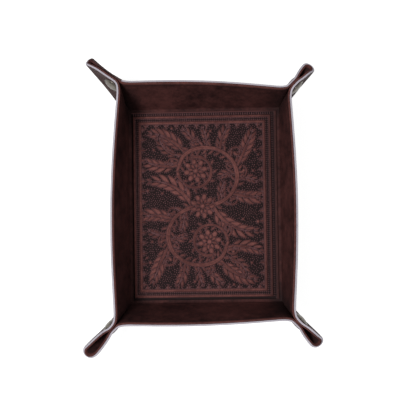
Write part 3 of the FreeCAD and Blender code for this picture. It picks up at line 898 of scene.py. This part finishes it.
class TRAY_OT_floor(bpy.types.Operator):
    """Lay the tooled floor and the sole under it"""

    bl_idname = "tray.floor"
    bl_label = "Floor"

    def execute(self, context):
        sheet = Sheet()
        self.make_field(sheet, design_tooling())
        self.make_border(sheet)
        self.make_webs(sheet)
        self.make_sole(sheet)
        return {"FINISHED"}

    def make_field(self, sheet, tooling):
        """The middle of the floor, inside the border, with its carved motifs."""
        left, right, front, back = border_box(FIELD_INSET)
        x, y = np.meshgrid(np.linspace(left, right, int((right - left) / FIELD_PITCH)),
                           np.linspace(front, back, int((back - front) / FIELD_PITCH)),
                           indexing="ij")
        height = (tooling.height(x, y) + border_height(x, y)
                  + ridge(border_inset(x, y), FIELD_INSET, *SEAM))
        index = np.arange(x.size).reshape(x.shape)
        quads = np.stack([index[:-1, :-1], index[1:, :-1], index[1:, 1:], index[:-1, 1:]], -1)
        rim = np.concatenate([index[:, 0], index[-1, 1:], index[-2::-1, -1], index[0, -2:0:-1]])
        self.close_slab(sheet, "tooled_floor", x, y, height, quads, [rim])

    def make_border(self, sheet):
        """The stamped frame between the field and the walls."""
        reach = sheet.foot_fold + 0.3
        half_x = sheet.half["side"] - reach
        half_y = sheet.half["end"] - reach
        outlines = []
        for box in (border_box(FIELD_INSET), (-half_x, half_x, -half_y, half_y)):
            outlines.append(np.concatenate([
                start + step * np.linspace(0, 1, count)[:-1, None]
                for (start, step), count in zip(box_sides(*box), (170, 220, 170, 220))]))
        inner, outer = outlines
        points = inner + (outer - inner) * np.linspace(0, 1, 38)[:, None, None]
        x = points[..., 0]
        y = points[..., 1]
        edge = np.minimum(half_x - np.abs(x), half_y - np.abs(y))
        height = (border_height(x, y) + ridge(edge, 0, 0.3, -0.3)
                  + ridge(border_inset(x, y), FIELD_INSET, *SEAM))
        index = np.arange(x.size).reshape(x.shape)
        after = np.roll(index, -1, axis=1)
        quads = np.stack([index[:-1], index[1:], after[1:], after[:-1]], -1)
        self.close_slab(sheet, "stamped_border", x, y, height, quads, [index[-1], index[0][::-1]])

    def close_slab(self, sheet, name, x, y, height, quads, rims):
        """Give a relief its sides and its underside, which is a fan inside one rim or a band
        between two."""
        top = np.stack([x, y, sheet.thick + height], -1).reshape(-1, 3)
        points = [top]
        faces = quads.reshape(-1, 4).tolist()
        base = len(top)
        rings = []
        for rim in rims:
            points.append(np.column_stack([top[rim, :2], np.full(len(rim), sheet.outer)]))
            ring = base + np.arange(len(rim))
            faces += np.stack([np.roll(rim, -1), rim, ring, np.roll(ring, -1)], -1).tolist()
            rings.append(ring)
            base += len(rim)
        outside = rings[0]
        under = [np.roll(outside, -1), outside]
        if len(rims) == 1:
            points.append([[0, 0, sheet.outer]])
            under.append(np.full(len(outside), base))
        else:
            inside = rings[1][::-1]
            under += [inside, np.roll(inside, -1)]
        faces += np.stack(under, -1).tolist()
        piece = make_piece(name, np.concatenate(points), faces, ["tooled"])
        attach(piece, "base")
        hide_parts("floor_lining")

    def make_webs(self, sheet):
        """The bit of lining at each corner, where the walls' creases meet."""
        circle = circle_points(np.radians(np.arange(0, 360, 30)))
        count = len(circle)
        rings = ((1.5, sheet.outer), (1.7, sheet.outer + 0.1),
                 (1.8, sheet.thick - 0.5), (1.6, sheet.thick - 0.35))
        points = []
        faces = []
        for signs in CORNERS.values():
            middle = np.array(signs) * (sheet.half["side"] - 0.5, sheet.half["end"] - 0.5)
            first = len(points)
            for radius, height in rings:
                points += [(x, y, height) for x, y in middle + radius * circle]
            top = len(points) - count
            faces += ring_faces(len(rings), count, first)
            faces += [list(range(first, first + count))[::-1], list(range(top, top + count))]
        piece = make_piece("corner_webs", points, faces, ["lining"])
        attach(piece, "base")
        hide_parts("floor_lining")

    def make_sole(self, sheet):
        """The outer leather under the floor, a little rounded at its lower edge."""
        reach = sheet.foot_fold + 0.2
        half = np.array([sheet.half["side"] - reach, sheet.half["end"] - reach])
        points = []
        for inset, height in ((0.25, 0.0), (0.0, 0.2), (0.0, sheet.outer)):
            for signs in ((-1, -1), (1, -1), (1, 1), (-1, 1)):
                points.append((*(signs * (half - inset)), height))
        faces = [[3, 2, 1, 0], [8, 9, 10, 11], *ring_faces(3, 4)]
        piece = make_piece("sole", points, faces, ["outer"])
        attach(piece, "base")
        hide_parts("floor_outer")


def border_box(inset):
    """The border's outline at an inset: left, right, front and back."""
    left, right, front, back = BORDER
    return left + inset, right - inset, front + inset, back - inset


def box_sides(left, right, front, back):
    """The four sides of a box seen from above: each one's start, and the step to its end."""
    starts = np.array([(left, front), (right, front), (right, back), (left, back)])
    return list(zip(starts, np.roll(starts, -1, axis=0) - starts))


def border_inset(x, y):
    """How far points lie inside the border's outer line."""
    left, right, front, back = BORDER
    return np.minimum.reduce([x - left, right - x, y - front, back - y])


def border_height(x, y):
    """The relief of the border: its ridges, and the sunk bands between them."""
    inset = border_inset(x, y)
    height = sum(ridge(inset, *line) for line in RIDGES)
    for first, last in SUNK:
        height = height - SUNK_DEPTH * (ease((inset - first) / 0.5) * ease((last - inset) / 0.5))
    return height


def smooth_line(points, spacing):
    """A smooth curve through points, evenly sampled."""
    points = np.asarray(points, float)
    padded = np.vstack([2 * points[0] - points[1], points, 2 * points[-1] - points[-2]])
    line = []
    for n in range(len(points) - 1):
        a, b, c, d = padded[n:n + 4]
        for t in np.linspace(0, 1, 24)[:-1]:
            line.append(0.5 * (2 * b + (c - a) * t + (2 * a - 5 * b + 4 * c - d) * t * t
                               + (3 * b - a - 3 * c + d) * t ** 3))
    return even_line(np.array(line + [points[-1]]), spacing)


def even_line(line, spacing):
    """A line through the same places whose points are evenly spaced."""
    walked = np.r_[0, np.cumsum(np.linalg.norm(np.diff(line, axis=0), axis=1))]
    even = np.linspace(0, walked[-1], max(3, int(walked[-1] / spacing) + 1))
    return np.stack([np.interp(even, walked, line[:, axis]) for axis in (0, 1)], -1)


def spread_out(values, count):
    """Values spread evenly over a number of points."""
    return np.interp(np.linspace(0, 1, count), np.linspace(0, 1, len(values)), values)


def circle_points(angles):
    """Points on a circle of radius 1."""
    return np.stack([np.cos(angles), np.sin(angles)], -1)


def sweep(start, heading, length, bend, spacing=0.8, tighten=1.2):
    """A curve that leaves a point at a heading and turns by bend in all, in degrees."""
    count = max(7, int(length / spacing))
    turn = np.radians(heading + bend * (np.arange(count) / (count - 1)) ** tighten)
    steps = circle_points(turn) * length / (count - 1)
    return np.vstack([start, np.asarray(start) + np.cumsum(steps[:-1], axis=0)])


class Tooling:
    """Motifs as strokes, each a line with a radius at every point, and cuts, which are lines
    of a knife.  A later stroke lies over an earlier one."""

    def __init__(self, relief):
        self.relief = relief
        left, right, front, back = BORDER
        self.middle = np.array([(left + right) / 2, (front + back) / 2])
        self.strokes = []
        self.cuts = []

    def stroke(self, line, radii):
        """Add a raised line, its radii spread evenly along it."""
        self.strokes.append((np.asarray(line, float), spread_out(radii, len(line))))

    def cut(self, line, depth=0.32, width=0.27):
        """Add a groove."""
        self.cuts.append((np.asarray(line, float), depth, width))

    def frond(self, start, heading, length, bend, reach, lobes, rib):
        """A leaf of paired lobes along a curving rib."""
        line = sweep(start, heading, length, bend)
        steps = np.gradient(line, axis=0)
        ways = np.degrees(np.unwrap(np.arctan2(steps[:, 1], steps[:, 0])))
        spread = np.arange(len(line))
        for n in range(lobes):
            share = 0.16 + 0.76 * n / (lobes - 1)
            place = share * (len(line) - 1)
            spot = [np.interp(place, spread, line[:, axis]) for axis in (0, 1)]
            way = np.interp(place, spread, ways)
            size = reach * math.sin(math.pi * (0.16 + 0.80 * share)) ** 0.8
            wide = 0.40 + 0.118 * size
            for side in (1, -1):
                lobe = sweep(spot, way + side * (44 - 10 * share), size, side * -38, 0.6)
                self.stroke(lobe, (wide * 0.6, wide, wide * 1.15, wide * 0.85, 0.25))
                self.cut(lobe[2:-2], 0.16, 0.22)
        self.stroke(line, (rib, rib * 0.9, rib * 0.7, 0.5, 0.3))
        self.cut(line[2:-3], 0.3, 0.26)

    def rosette(self, middle, radius, petals, turn):
        """A flower of two rings of petals round a boss."""
        middle = np.asarray(middle, float)
        for ring, shift in ((1.0, 0.0), (0.62, 0.5)):
            for n in range(petals):
                out = circle_points(math.radians(turn) + 2 * math.pi * (n + shift) / petals)
                near = middle + out * radius * 0.22
                far = middle + out * radius * ring * 0.86
                wide = radius * ring * math.pi / petals * 0.66
                self.stroke(np.linspace(near, far, 8), (wide * 0.35, wide * 0.8, wide, wide * 0.9))
                self.cut(np.linspace(middle + out * radius * 0.4 * ring, far, 5), 0.13, 0.22)
        self.berry(middle, radius * 0.24)

    def tendril(self, start, heading, length, bend):
        """A curling shoot that ends in a bud."""
        line = sweep(start, heading, length, bend, 0.7, 1.9)
        self.stroke(line, [0.95 * share for share in (1, 0.9, 0.8, 0.7, 1.5)])
        self.cut(line[2:-3], 0.12, 0.22)

    def frill(self, line, gap, size):
        """Short curling lobes along a line, to one side and the other by turns."""
        steps = np.gradient(line, axis=0)
        ways = np.degrees(np.arctan2(steps[:, 1], steps[:, 0]))
        for n, place in enumerate(range(5, len(line) - 3, gap)):
            side = 1 if n % 2 else -1
            lobe = sweep(line[place], ways[place] + side * 74, size, -side * 46, 0.6)
            self.stroke(lobe, (0.9, 0.9, 1.15, 1.0, 0.3))
            self.cut(lobe[3:-1], 0.16, 0.22)

    def teeth(self, half_x, half_y, pitch):
        """A row of small leaves that point in from the field's edge."""
        for near, far, turn in ((half_x, half_y, 0.0), (half_y, half_x, 90.0)):
            count = int(2 * far / pitch)
            for n in range(count):
                along = -far + 2 * far * (n + 0.5) / count
                for side in (1, -1):
                    start = np.array([along, side * near] if turn else [side * near, along])
                    for spread, size in ((-34, 2.6), (34, 2.6), (0, 4.2)):
                        way = math.radians(turn + (90 + 90 * side) + spread)
                        tip = start + circle_points(way) * size
                        self.stroke(np.linspace(start, tip, 6), (0.55, 0.85, 0.8, 0.5, 0.15))

    def berry(self, middle, radius):
        """A round boss."""
        middle = np.asarray(middle, float)
        self.stroke(np.array([middle, middle + 0.01]), (radius, radius))

    def repeat_turned(self):
        """Lay everything so far again, half a turn round."""
        self.strokes += [(-line, radii) for line, radii in self.strokes]
        self.cuts += [(-line, depth, width) for line, depth, width in self.cuts]

    @staticmethod
    def inside(x, y, line, radii, margin):
        """Which points are near a stroke, and how deep they lie in it."""
        span = radii.max() + margin
        low = line.min(axis=0) - span
        high = line.max(axis=0) + span
        near = (x > low[0]) & (x < high[0]) & (y > low[1]) & (y < high[1])
        x = x[near][:, None]
        y = y[near][:, None]
        start = line[:-1]
        step = line[1:] - start
        square = np.maximum((step ** 2).sum(axis=1), 1e-9)
        share = ((x - start[:, 0]) * step[:, 0] + (y - start[:, 1]) * step[:, 1]) / square
        share = np.clip(share, 0, 1)
        away = np.hypot(x - start[:, 0] - share * step[:, 0], y - start[:, 1] - share * step[:, 1])
        deep = radii[:-1] + (radii[1:] - radii[:-1]) * share - away
        return near, deep.max(axis=1)

    def depth_inside(self, x, y):
        """How deep points lie inside the motifs, or below zero how far outside them."""
        x = x - self.middle[0]
        y = y - self.middle[1]
        deepest = np.full(x.shape, -9.0)
        for line, radii in self.strokes:
            near, deep = self.inside(x, y, line, radii, 3.5)
            deepest[near] = np.maximum(deepest[near], deep)
        return deepest

    def height(self, x, y):
        """The relief: motifs stand at the floor's face and the ground lies under it."""
        field = ease((border_inset(x, y) - CARVED_INSET) / 0.5)
        x = x - self.middle[0]
        y = y - self.middle[1]
        deepest = np.full(x.shape, -9.0)
        height = np.zeros(x.shape)
        for line, radii in self.strokes:
            near, deep = self.inside(x, y, line, radii, 1.2)
            raised = self.relief * ease((deep + 0.1) / 0.7) + 0.20 * np.clip(deep, 0, 1.5)
            groove = ridge(deep, -0.16, 0.24, 0.42) * (deepest[near] > 0.1)
            height[near] = np.where(deep > 0, raised, np.maximum(height[near] - groove, raised))
            deepest[near] = np.maximum(deepest[near], deep)
        for line, depth, width in self.cuts:
            near, deep = self.inside(x, y, line, np.zeros(len(line)), 1.0)
            height[near] -= ridge(deep, 0, width, depth)
        return (height - self.relief) * field

    def ground_rows(self, pitch):
        """Points of the stippled ground, in rows that follow the motifs' outlines."""
        candidates = []
        for row in range(9):
            offset = 0.5 + row * pitch * BEAD_CLOSENESS
            for line, radii in self.strokes:
                fine = even_line(line, 0.45) if len(line) > 2 else line
                radius = spread_out(radii, len(fine)) + offset
                way = unit(np.gradient(fine, axis=0) + 1e-9)
                square = np.stack([-way[:, 1], way[:, 0]], -1)
                rims = [fine + square * radius[:, None], fine - square * radius[:, None]]
                for end in (0, -1):
                    angles = np.arange(0, 2 * math.pi, pitch / radius[end])
                    rims.append(fine[end] + circle_points(angles) * radius[end])
                rims = np.concatenate(rims)
                candidates.append(np.column_stack([rims, np.full(len(rims), offset)]))
        candidates = np.concatenate(candidates)
        places = candidates[:, :2] + self.middle
        inside = border_inset(*places.T) > GROUND_INSET
        places = places[inside]
        rows = np.abs(self.depth_inside(*places.T) + candidates[inside, 2]) < 0.12
        # what the rows leave bare
        left, right, front, back = border_box(GROUND_INSET)
        rest = np.meshgrid(np.arange(left, right, 0.4), np.arange(front, back, 0.4))
        rest = np.stack(rest, -1).reshape(-1, 2)
        bare = self.depth_inside(*rest.T) < -0.42
        return thin_out(np.concatenate([places[rows], rest[bare]]), pitch)


def thin_out(points, pitch):
    """Keep points in order, none nearer than about the pitch to one already kept."""
    kept = []
    cells = {}
    least = (pitch * BEAD_CLOSENESS) ** 2
    for x, y in points.tolist():
        across = int(x // pitch)
        row = int(y // pitch)
        near = [other for i in (-1, 0, 1) for j in (-1, 0, 1)
                for other in cells.get((across + i, row + j), ())]
        if all((x - other_x) ** 2 + (y - other_y) ** 2 >= least for other_x, other_y in near):
            cells.setdefault((across, row), []).append((x, y))
            kept.append((x, y))
    return np.array(kept)


def design_tooling():
    """A scrolling vine with fronds and flowers, the same when it is turned half round."""
    tooling = Tooling(bpy.context.scene.tray_tooling.relief / MM)
    tooling.teeth(45.6, 61.6, 7.6)
    # each frond's start, heading, length, bend, reach of its lobes, their number and its rib
    for frond in (
            ((7, 1), -62, 42, 72, 12.0, 6, 1.7),
            ((22, 10), -24, 25, 44, 10.5, 5, 1.5),
            ((25, 28), 62, 32, 8, 10.5, 6, 1.5),
            ((13, 41.5), 80, 19, -22, 8.5, 4, 1.3),
            ((-2, 43.5), 118, 19, 30, 7.5, 4, 1.3),
            ((-12, 40), 132, 32, 44, 11.0, 6, 1.6),
            ((-18, 31), 190, 26, -40, 10.0, 5, 1.5),
            ((25, 24), 172, 13, 50, 6.5, 4, 1.1),
            ((13.5, 3.5), 92, 15, -30, 6.5, 4, 1.1),
            ((-17, 38), 168, 22, -70, 7.0, 5, 1.1),
            ((26.5, 22), -4, 15, -30, 6.0, 4, 1.0),
            ((4, 43.5), 92, 16, 24, 6.0, 4, 1.0)):
        tooling.frond(*frond)
    # each tendril's start, heading, length and bend
    for tendril in (
            ((26, 19), 22, 27, 420), ((-17.5, 34), 146, 17, 380), ((-7, 42.5), 104, 17, -330),
            ((19, 37.5), 66, 21, -330), ((16, 4), -40, 20, 340), ((-17, 24), 218, 22, 400),
            ((26, 16), 178, 15, 330), ((23, 33), 190, 13, 330)):
        tooling.tendril(*tendril)
    flower = np.array([-4.8, 26.5])
    share = np.linspace(0, 1, 60)
    scroll = flower + circle_points(np.radians(180 + 290 * share)) * (13.6 - 3.4 * share)[:, None]
    vine = smooth_line([(0, 0), (10, 1.5), (20.5, 8), (26, 20), (23, 33), (12, 42), (-2, 43.5),
                        (-13.5, 38), (-18.5, 27)], 0.9)
    for line, lobe, radii in ((scroll, 4.9, (1.4, 1.0, 1.4, 1.0, 1.8)),
                              (vine, 6.4, (2.1, 1.5, 2.0, 1.4, 1.9, 1.3))):
        tooling.frill(line, 3, lobe)
        tooling.stroke(line, radii)
        tooling.cut(line[3:-3])
    tooling.rosette(flower, 8.4, 8, 11)
    for x, y, radius in ((39.5, 41.5, 1.4), (42.0, 38.0, 1.1), (-41, 12.0, 1.4), (43.0, 5.0, 1.2),
                         (-30, 10.0, 1.2), (6.5, 56.0, 1.2), (-22.5, 58.5, 1.2), (38, 26, 1.2),
                         (-36, 42.5, 1.2)):
        tooling.berry((x, y), radius)
    tooling.repeat_turned()
    tooling.rosette((0, 0), 8.8, 9, 0)
    return tooling


class Tree(Nodes):
    """A Geometry Nodes tree that is applied to a piece."""

    def __init__(self, name, numbers):
        super().__init__(bpy.data.node_groups.new(name, "GeometryNodeTree"))
        kinds = {"Geometry": "NodeSocketGeometry", **numbers}
        for label, kind in kinds.items():
            self.tree.interface.new_socket(label, in_out="INPUT", socket_type=kind)
        self.tree.interface.new_socket("Geometry", in_out="OUTPUT", socket_type=kinds["Geometry"])
        outputs = self.tree.nodes.new("NodeGroupInput").outputs
        self.given = {label: Wire(self, outputs[label]) for label in kinds}

    def apply(self, piece, numbers):
        """Run the tree on a piece and keep the result as its plain mesh."""
        modifier = piece.modifiers.new(self.tree.name, "NODES")
        modifier.node_group = self.tree
        for item in self.tree.interface.items_tree:
            if item.name in numbers:
                modifier[item.identifier] = numbers[item.name]
        graph = bpy.context.evaluated_depsgraph_get()
        made = bpy.data.meshes.new_from_object(piece.evaluated_get(graph))
        piece.modifiers.remove(modifier)
        piece.data = made


def stamp_tree(name):
    """Set one rounded stamp on every point: a bead where its sizes are alike, a bar where
    it is long."""
    tree = Tree(name, {
        "Length": "NodeSocketFloat", "Width": "NodeSocketFloat", "Height": "NodeSocketFloat",
        "Unevenness": "NodeSocketFloat", "Seed": "NodeSocketInt",
        "Material": "NodeSocketMaterial"})
    given = tree.given
    ball = tree.node("GeometryNodeMeshIcoSphere", {}, {"Radius": 1.0, "Subdivisions": 1})
    size = tree.node("ShaderNodeCombineXYZ", {}, [
        given["Length"], given["Width"], given["Height"]])
    stamp = tree.node("GeometryNodeTransform", {}, {"Geometry": ball, "Scale": size})
    turn = tree.node("GeometryNodeInputNamedAttribute", {"data_type": "FLOAT_VECTOR"},
                     {"Name": "turn"}, "Attribute")
    # the sockets of a random number, as against those of a random vector
    least, most, number = 2, 3, 1
    chance = tree.node("FunctionNodeRandomValue", {"data_type": "FLOAT"}, {
        least: 1.0 - given["Unevenness"], most: 1.0 + given["Unevenness"],
        "Seed": given["Seed"]}, number)
    placed = tree.node("GeometryNodeInstanceOnPoints", {}, {
        "Points": given["Geometry"], "Instance": stamp, "Rotation": turn, "Scale": chance})
    real = tree.node("GeometryNodeRealizeInstances", {}, {"Geometry": placed})
    soft = tree.node("GeometryNodeSetShadeSmooth", {}, {"Geometry": real})
    tree.end("NodeGroupOutput", tree.node("GeometryNodeSetMaterial", {}, {
        "Geometry": soft, "Material": given["Material"]}))
    return tree


class TRAY_OT_stamps(bpy.types.Operator):
    """Stamp the border's bars and the beads of the ground"""

    bl_idname = "tray.stamps"
    bl_label = "Stamps"

    def execute(self, context):
        sheet = Sheet()
        tooling = context.scene.tray_tooling
        bead = tooling.bead
        bead_pitch = tooling.bead_pitch / MM
        ground = design_tooling().ground_rows(bead_pitch)
        low = sheet.thick - tooling.relief / MM - 0.02
        back = ground[:, 1] > 0
        for name, side in (("ground_beads_back", back), ("ground_beads_front", ~back)):
            self.stamp(name, ground[side], 0.0, low, (bead, bead, bead * 0.75))
        low = sheet.thick - SUNK_DEPTH
        bars = self.border_row(sheet, BAR_INSET, tooling.bar_pitch / MM)
        self.stamp("border_bars", *bars, low, BAR_SIZE)
        rows = [self.border_row(sheet, inset, bead_pitch) for inset in BEAD_INSETS]
        beads = map(np.concatenate, zip(*rows))
        self.stamp("border_beads", *beads, low, (bead, bead, bead * 0.9))
        return {"FINISHED"}

    def border_row(self, sheet, inset, pitch):
        """Points along the border at an inset, each with its turn square to the border."""
        points = []
        turns = []
        for (start, step), turn in zip(box_sides(*border_box(inset)), (90, 0, 90, 0)):
            count = int(np.linalg.norm(step) / pitch)
            points += [start + step * n / count for n in range(count)]
            turns += [45] + [turn] * (count - 1)
        points = np.array(points)
        limits = np.array([sheet.half["side"], sheet.half["end"]]) - 2.6
        inside = (np.abs(points) < limits).all(axis=1)
        return points[inside], np.radians(turns)[inside]

    def stamp(self, name, points, turns, height, size):
        """Stamp a piece's points, each turned about the upright axis."""
        mesh = bpy.data.meshes.new(name)
        places = np.column_stack([points, np.full(len(points), height)]) * MM
        mesh.from_pydata(places.tolist(), [], [])
        layer = mesh.attributes.new("turn", "FLOAT_VECTOR", "POINT")
        spins = np.zeros((len(points), 3), np.float32)
        spins[:, 2] = turns
        layer.data.foreach_set("vector", spins.ravel())
        piece = link(name, mesh)
        stamp_tree(name).apply(piece, {
            **dict(zip(("Length", "Width", "Height"), size)), "Unevenness": 0.12,
            "Seed": bpy.context.scene.tray_tooling.seed, "Material": material("tooled")})
        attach(piece, "base")


def lathe(name, profile, segments, look, axes):
    """Turn a profile, as radius, height and how hollow it looks, about an axis."""
    centre, first, second, axis = axes
    angles = np.linspace(0, 2 * math.pi, segments, endpoint=False)
    around = np.outer(np.cos(angles), first) + np.outer(np.sin(angles), second)
    points = [centre + around * radius + axis * height for radius, height, _ in profile]
    hollow = np.repeat([share for _, _, share in profile], segments)
    return make_piece(name, points, ring_faces(len(profile), segments), [look],
                      values={"hollow": hollow})


# the snaps' inner parts: radius and height off the ear's middle plane
SOCKET = ((1.6, 1.0), (4.5, 1.0), (4.8, 0.75), (4.8, 0.2), (4.65, -0.08), (4.35, -0.16),
          (3.9, -0.06), (3.4, -0.06), (3.0, -0.16), (2.7, -0.16), (2.55, 0.0), (2.55, 0.24),
          (3.1, 0.24), (3.1, 0.58), (2.55, 0.58), (2.55, 0.75), (1.6, 0.75), (1.6, 1.0))
STUD = ((1.6, 1.0), (4.2, 1.0), (4.5, 0.85), (4.5, 0.3), (4.3, 0.02), (4.0, -0.04),
        (3.4, 0.1), (2.6, 0.22), (2.15, 0.12), (2.05, 0.0), (2.05, -0.3), (2.3, -0.4),
        (2.3, -0.55), (2.15, -0.65), (1.75, -0.65), (1.6, -0.55), (1.6, 1.0))
SPRING = [(2.91 + 0.14 * math.cos(way), 0.41 + 0.14 * math.sin(way))
          for way in np.linspace(0, 2 * math.pi, 9)]


class TRAY_OT_snaps(bpy.types.Operator):
    """Set the four snap fasteners"""

    bl_idname = "tray.snaps"
    bl_label = "Snaps"

    def execute(self, context):
        sheet = Sheet()
        snap = context.scene.tray_snap
        # each part with the kind of ear half that it sits on
        parts = (
            ("cap", "side", self.cap_profile(snap, sheet.thick), 56, "metal", "snap_face"),
            ("eyelet", "end", self.eyelet_profile(snap, sheet.thick), 48, "metal", "snap_face"),
            ("socket", "side", self.inner_profile(SOCKET), 40, "inner metal", "snap_inner"),
            ("spring", "side", self.inner_profile(SPRING), 40, "inner metal", "snap_spring"),
            ("stud", "end", self.inner_profile(STUD), 40, "inner metal", "snap_inner"),
        )
        for name in CORNERS:
            for part, kind, profile, segments, look, slot in parts:
                axes = self.axes(sheet, snap, name, kind)
                piece = lathe(f"{part}_{name}", profile, segments, look, axes)
                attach(piece, f"ear_{name}_{kind}")
                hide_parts(f"snap_{name}_{part}")
        return {"FINISHED"}

    @staticmethod
    def axes(sheet, snap, name, kind):
        """A snap's centre in its ear's middle plane, two directions in that plane and its
        axis, which points away from the plane on one side."""
        corner = sheet.corners[name]
        spread = 4.0
        along = snap.along / MM + np.array([0, spread, -spread, 0, 0])
        across = snap.across / MM + np.array([0, 0, 0, spread, -spread])
        points = sheet.ear_plane(corner, along, across)
        first = unit(points[1] - points[2])
        axis = unit(np.cross(first, points[3] - points[4]))
        axis = axis if axis @ corner.facing(kind) > 0 else -axis
        return points[0], first, np.cross(axis, first), axis

    @staticmethod
    def cap_profile(snap, face):
        """A rolled rim, a groove and a dome."""
        radius = snap.cap_radius / MM
        rise = snap.cap_rise / MM
        profile = [(0, -0.5, 1), (radius - 1.2, -0.5, 1), (radius - 0.35, -0.05, 0.8),
                   (radius - 0.05, 0.12, 0.5), (radius, 0.35, 0.2), (radius - 0.1, 0.6, 0.1),
                   (radius - 0.35, 0.74, 0.25), (radius - 0.7, 0.72, 0.7),
                   (radius - 0.95, 0.68, 0.9)]
        for share in np.linspace(0.92, 0, 14):
            height = 0.7 + (rise - 0.7) * (1 - share ** 2) ** 0.75
            profile.append(((radius - 0.95) * share, height, 0.35 * share ** 6))
        return [(radius, face + height, hollow) for radius, height, hollow in profile]

    @staticmethod
    def eyelet_profile(snap, face):
        """A tube with a flange that is rolled over."""
        radius = snap.eyelet_radius / MM
        top = face + snap.eyelet_rise / MM
        return [(1.0, face - 1.5, 1), (1.0, top - 0.2, 1), (1.1, top - 0.05, 0.6),
                (1.35, top, 0.2), (1.8, top, 0.15), (2.2, top - 0.12, 0.5),
                (2.5, top - 0.14, 0.5), (2.9, top - 0.03, 0.1), (radius - 0.8, top, 0.1),
                (radius - 0.3, top - 0.14, 0.2), (radius, face + 0.2, 0.6),
                (radius, face - 0.2, 1), (1.5, face - 0.2, 1), (1.5, face - 1.5, 1),
                (1.0, face - 1.5, 1)]

    @staticmethod
    def inner_profile(profile):
        """An inner part, dark in its bore."""
        return [(radius, height, 0.8 if radius < 2 else 0.15) for radius, height in profile]


class TRAY_OT_stage(bpy.types.Operator):
    """Set the floor, the lights and the camera"""

    bl_idname = "tray.stage"
    bl_label = "Stage"

    def execute(self, context):
        scene = context.scene
        view = scene.tray_view
        self.make_ground()
        self.make_world(scene, view.fill)
        self.add_light("key light", (-0.44, -0.14, 0.98), view.key, 0.30)
        self.add_light("fill light", (0.92, 0.22, 0.55), view.key * 0.125, 0.8)
        self.make_camera(scene, view)
        scene.view_settings.view_transform = "Standard"
        return {"FINISHED"}

    def make_ground(self):
        """A floor that looks white to the camera and lights the tray like a grey one."""
        recipe = Recipe("stage floor")
        camera, glossy, through = (
            recipe.node("ShaderNodeLightPath", {}, {}, f"Is {ray} Ray")
            for ray in ("Camera", "Glossy", "Transmission"))
        seen = (camera + glossy + through).clamp()
        matt, pale = (recipe.node("ShaderNodeBsdfDiffuse", {}, {"Color": (grey, grey, grey, 1)})
                      for grey in (0.78, 0.28))
        glow = recipe.node("ShaderNodeEmission", {}, {"Color": WHITE, "Strength": 0.90})
        both = recipe.node("ShaderNodeAddShader", {}, [pale, glow])
        recipe.end("ShaderNodeOutputMaterial",
                   recipe.node("ShaderNodeMixShader", {}, [seen, matt, both]))
        mesh = bpy.data.meshes.new("stage_floor")
        corners = [(x, y, -0.00005) for x, y in ((-3, -3), (3, -3), (3, 3), (-3, 3))]
        mesh.from_pydata(corners, [], [(0, 1, 2, 3)])
        mesh.materials.append(recipe.material)
        ground = link("stage_floor", mesh)

    def make_world(self, scene, fill):
        """A white surround that lights the tray with the fill's strength."""
        scene.world = bpy.data.worlds.new("Studio")
        scene.world.use_nodes = True
        nodes = Nodes(scene.world.node_tree)
        seen = nodes.node("ShaderNodeLightPath", {}, {}, "Is Camera Ray")
        lights = [nodes.node("ShaderNodeBackground", {}, {"Color": WHITE, "Strength": strength})
                  for strength in (fill, 1.0)]
        nodes.end("ShaderNodeOutputWorld", nodes.node("ShaderNodeMixShader", {}, [seen, *lights]))

    def add_light(self, name, place, power, size):
        lamp = bpy.data.lights.new(name, "AREA")
        lamp.energy = power
        lamp.shape = "DISK"
        lamp.size = size
        light = link(name, lamp)
        light.location = place
        light.rotation_euler = (-Vector(place)).to_track_quat("-Z", "Y").to_euler()

    def make_camera(self, scene, view):
        lens = bpy.data.cameras.new("Camera")
        lens.sensor_fit = "HORIZONTAL"
        lens.sensor_width = 36
        lens.lens = lens.sensor_width * view.reach
        lens.clip_start = 0.01
        camera = link("Camera", lens)
        turn = (Matrix.Rotation(view.tilt[2], 3, "Z") @ Matrix.Rotation(view.tilt[0], 3, "X")
                @ Matrix.Rotation(view.tilt[1], 3, "Y"))
        camera.matrix_world = Matrix.Translation(view.place) @ turn.transposed().to_4x4()
        scene.camera = camera


OPERATORS = (TRAY_OT_floor, TRAY_OT_stamps, TRAY_OT_walls, TRAY_OT_ears, TRAY_OT_snaps,
             TRAY_OT_stage)


class TRAY_PT_panel(bpy.types.Panel):
    """The tray's parts, in the order in which they are made"""

    bl_idname = "TRAY_PT_panel"
    bl_label = "Dice tray"
    bl_space_type = "VIEW_3D"
    bl_region_type = "UI"
    bl_category = "Dice tray"

    def draw(self, context):
        for group, kind in GROUPS.items():
            box = self.layout.box()
            for key in kind.__annotations__:
                box.prop(getattr(context.scene, group), key)
        for operator in OPERATORS:
            self.layout.operator(operator.bl_idname)


def register():
    for group, kind in GROUPS.items():
        bpy.utils.register_class(kind)
        setattr(bpy.types.Scene, group, PointerProperty(type=kind))
    for kind in (*OPERATORS, TRAY_PT_panel):
        bpy.utils.register_class(kind)


def unregister():
    for kind in reversed((*OPERATORS, TRAY_PT_panel)):
        bpy.utils.unregister_class(kind)
    for group, kind in reversed(GROUPS.items()):
        delattr(bpy.types.Scene, group)
        bpy.utils.unregister_class(kind)


def main():
    register()
    bpy.ops.tray.stage()
    bpy.ops.tray.floor()
    bpy.ops.tray.stamps()
    bpy.ops.tray.walls()
    bpy.ops.tray.ears()
    bpy.ops.tray.snaps()


if __name__ == "__main__":
    main()
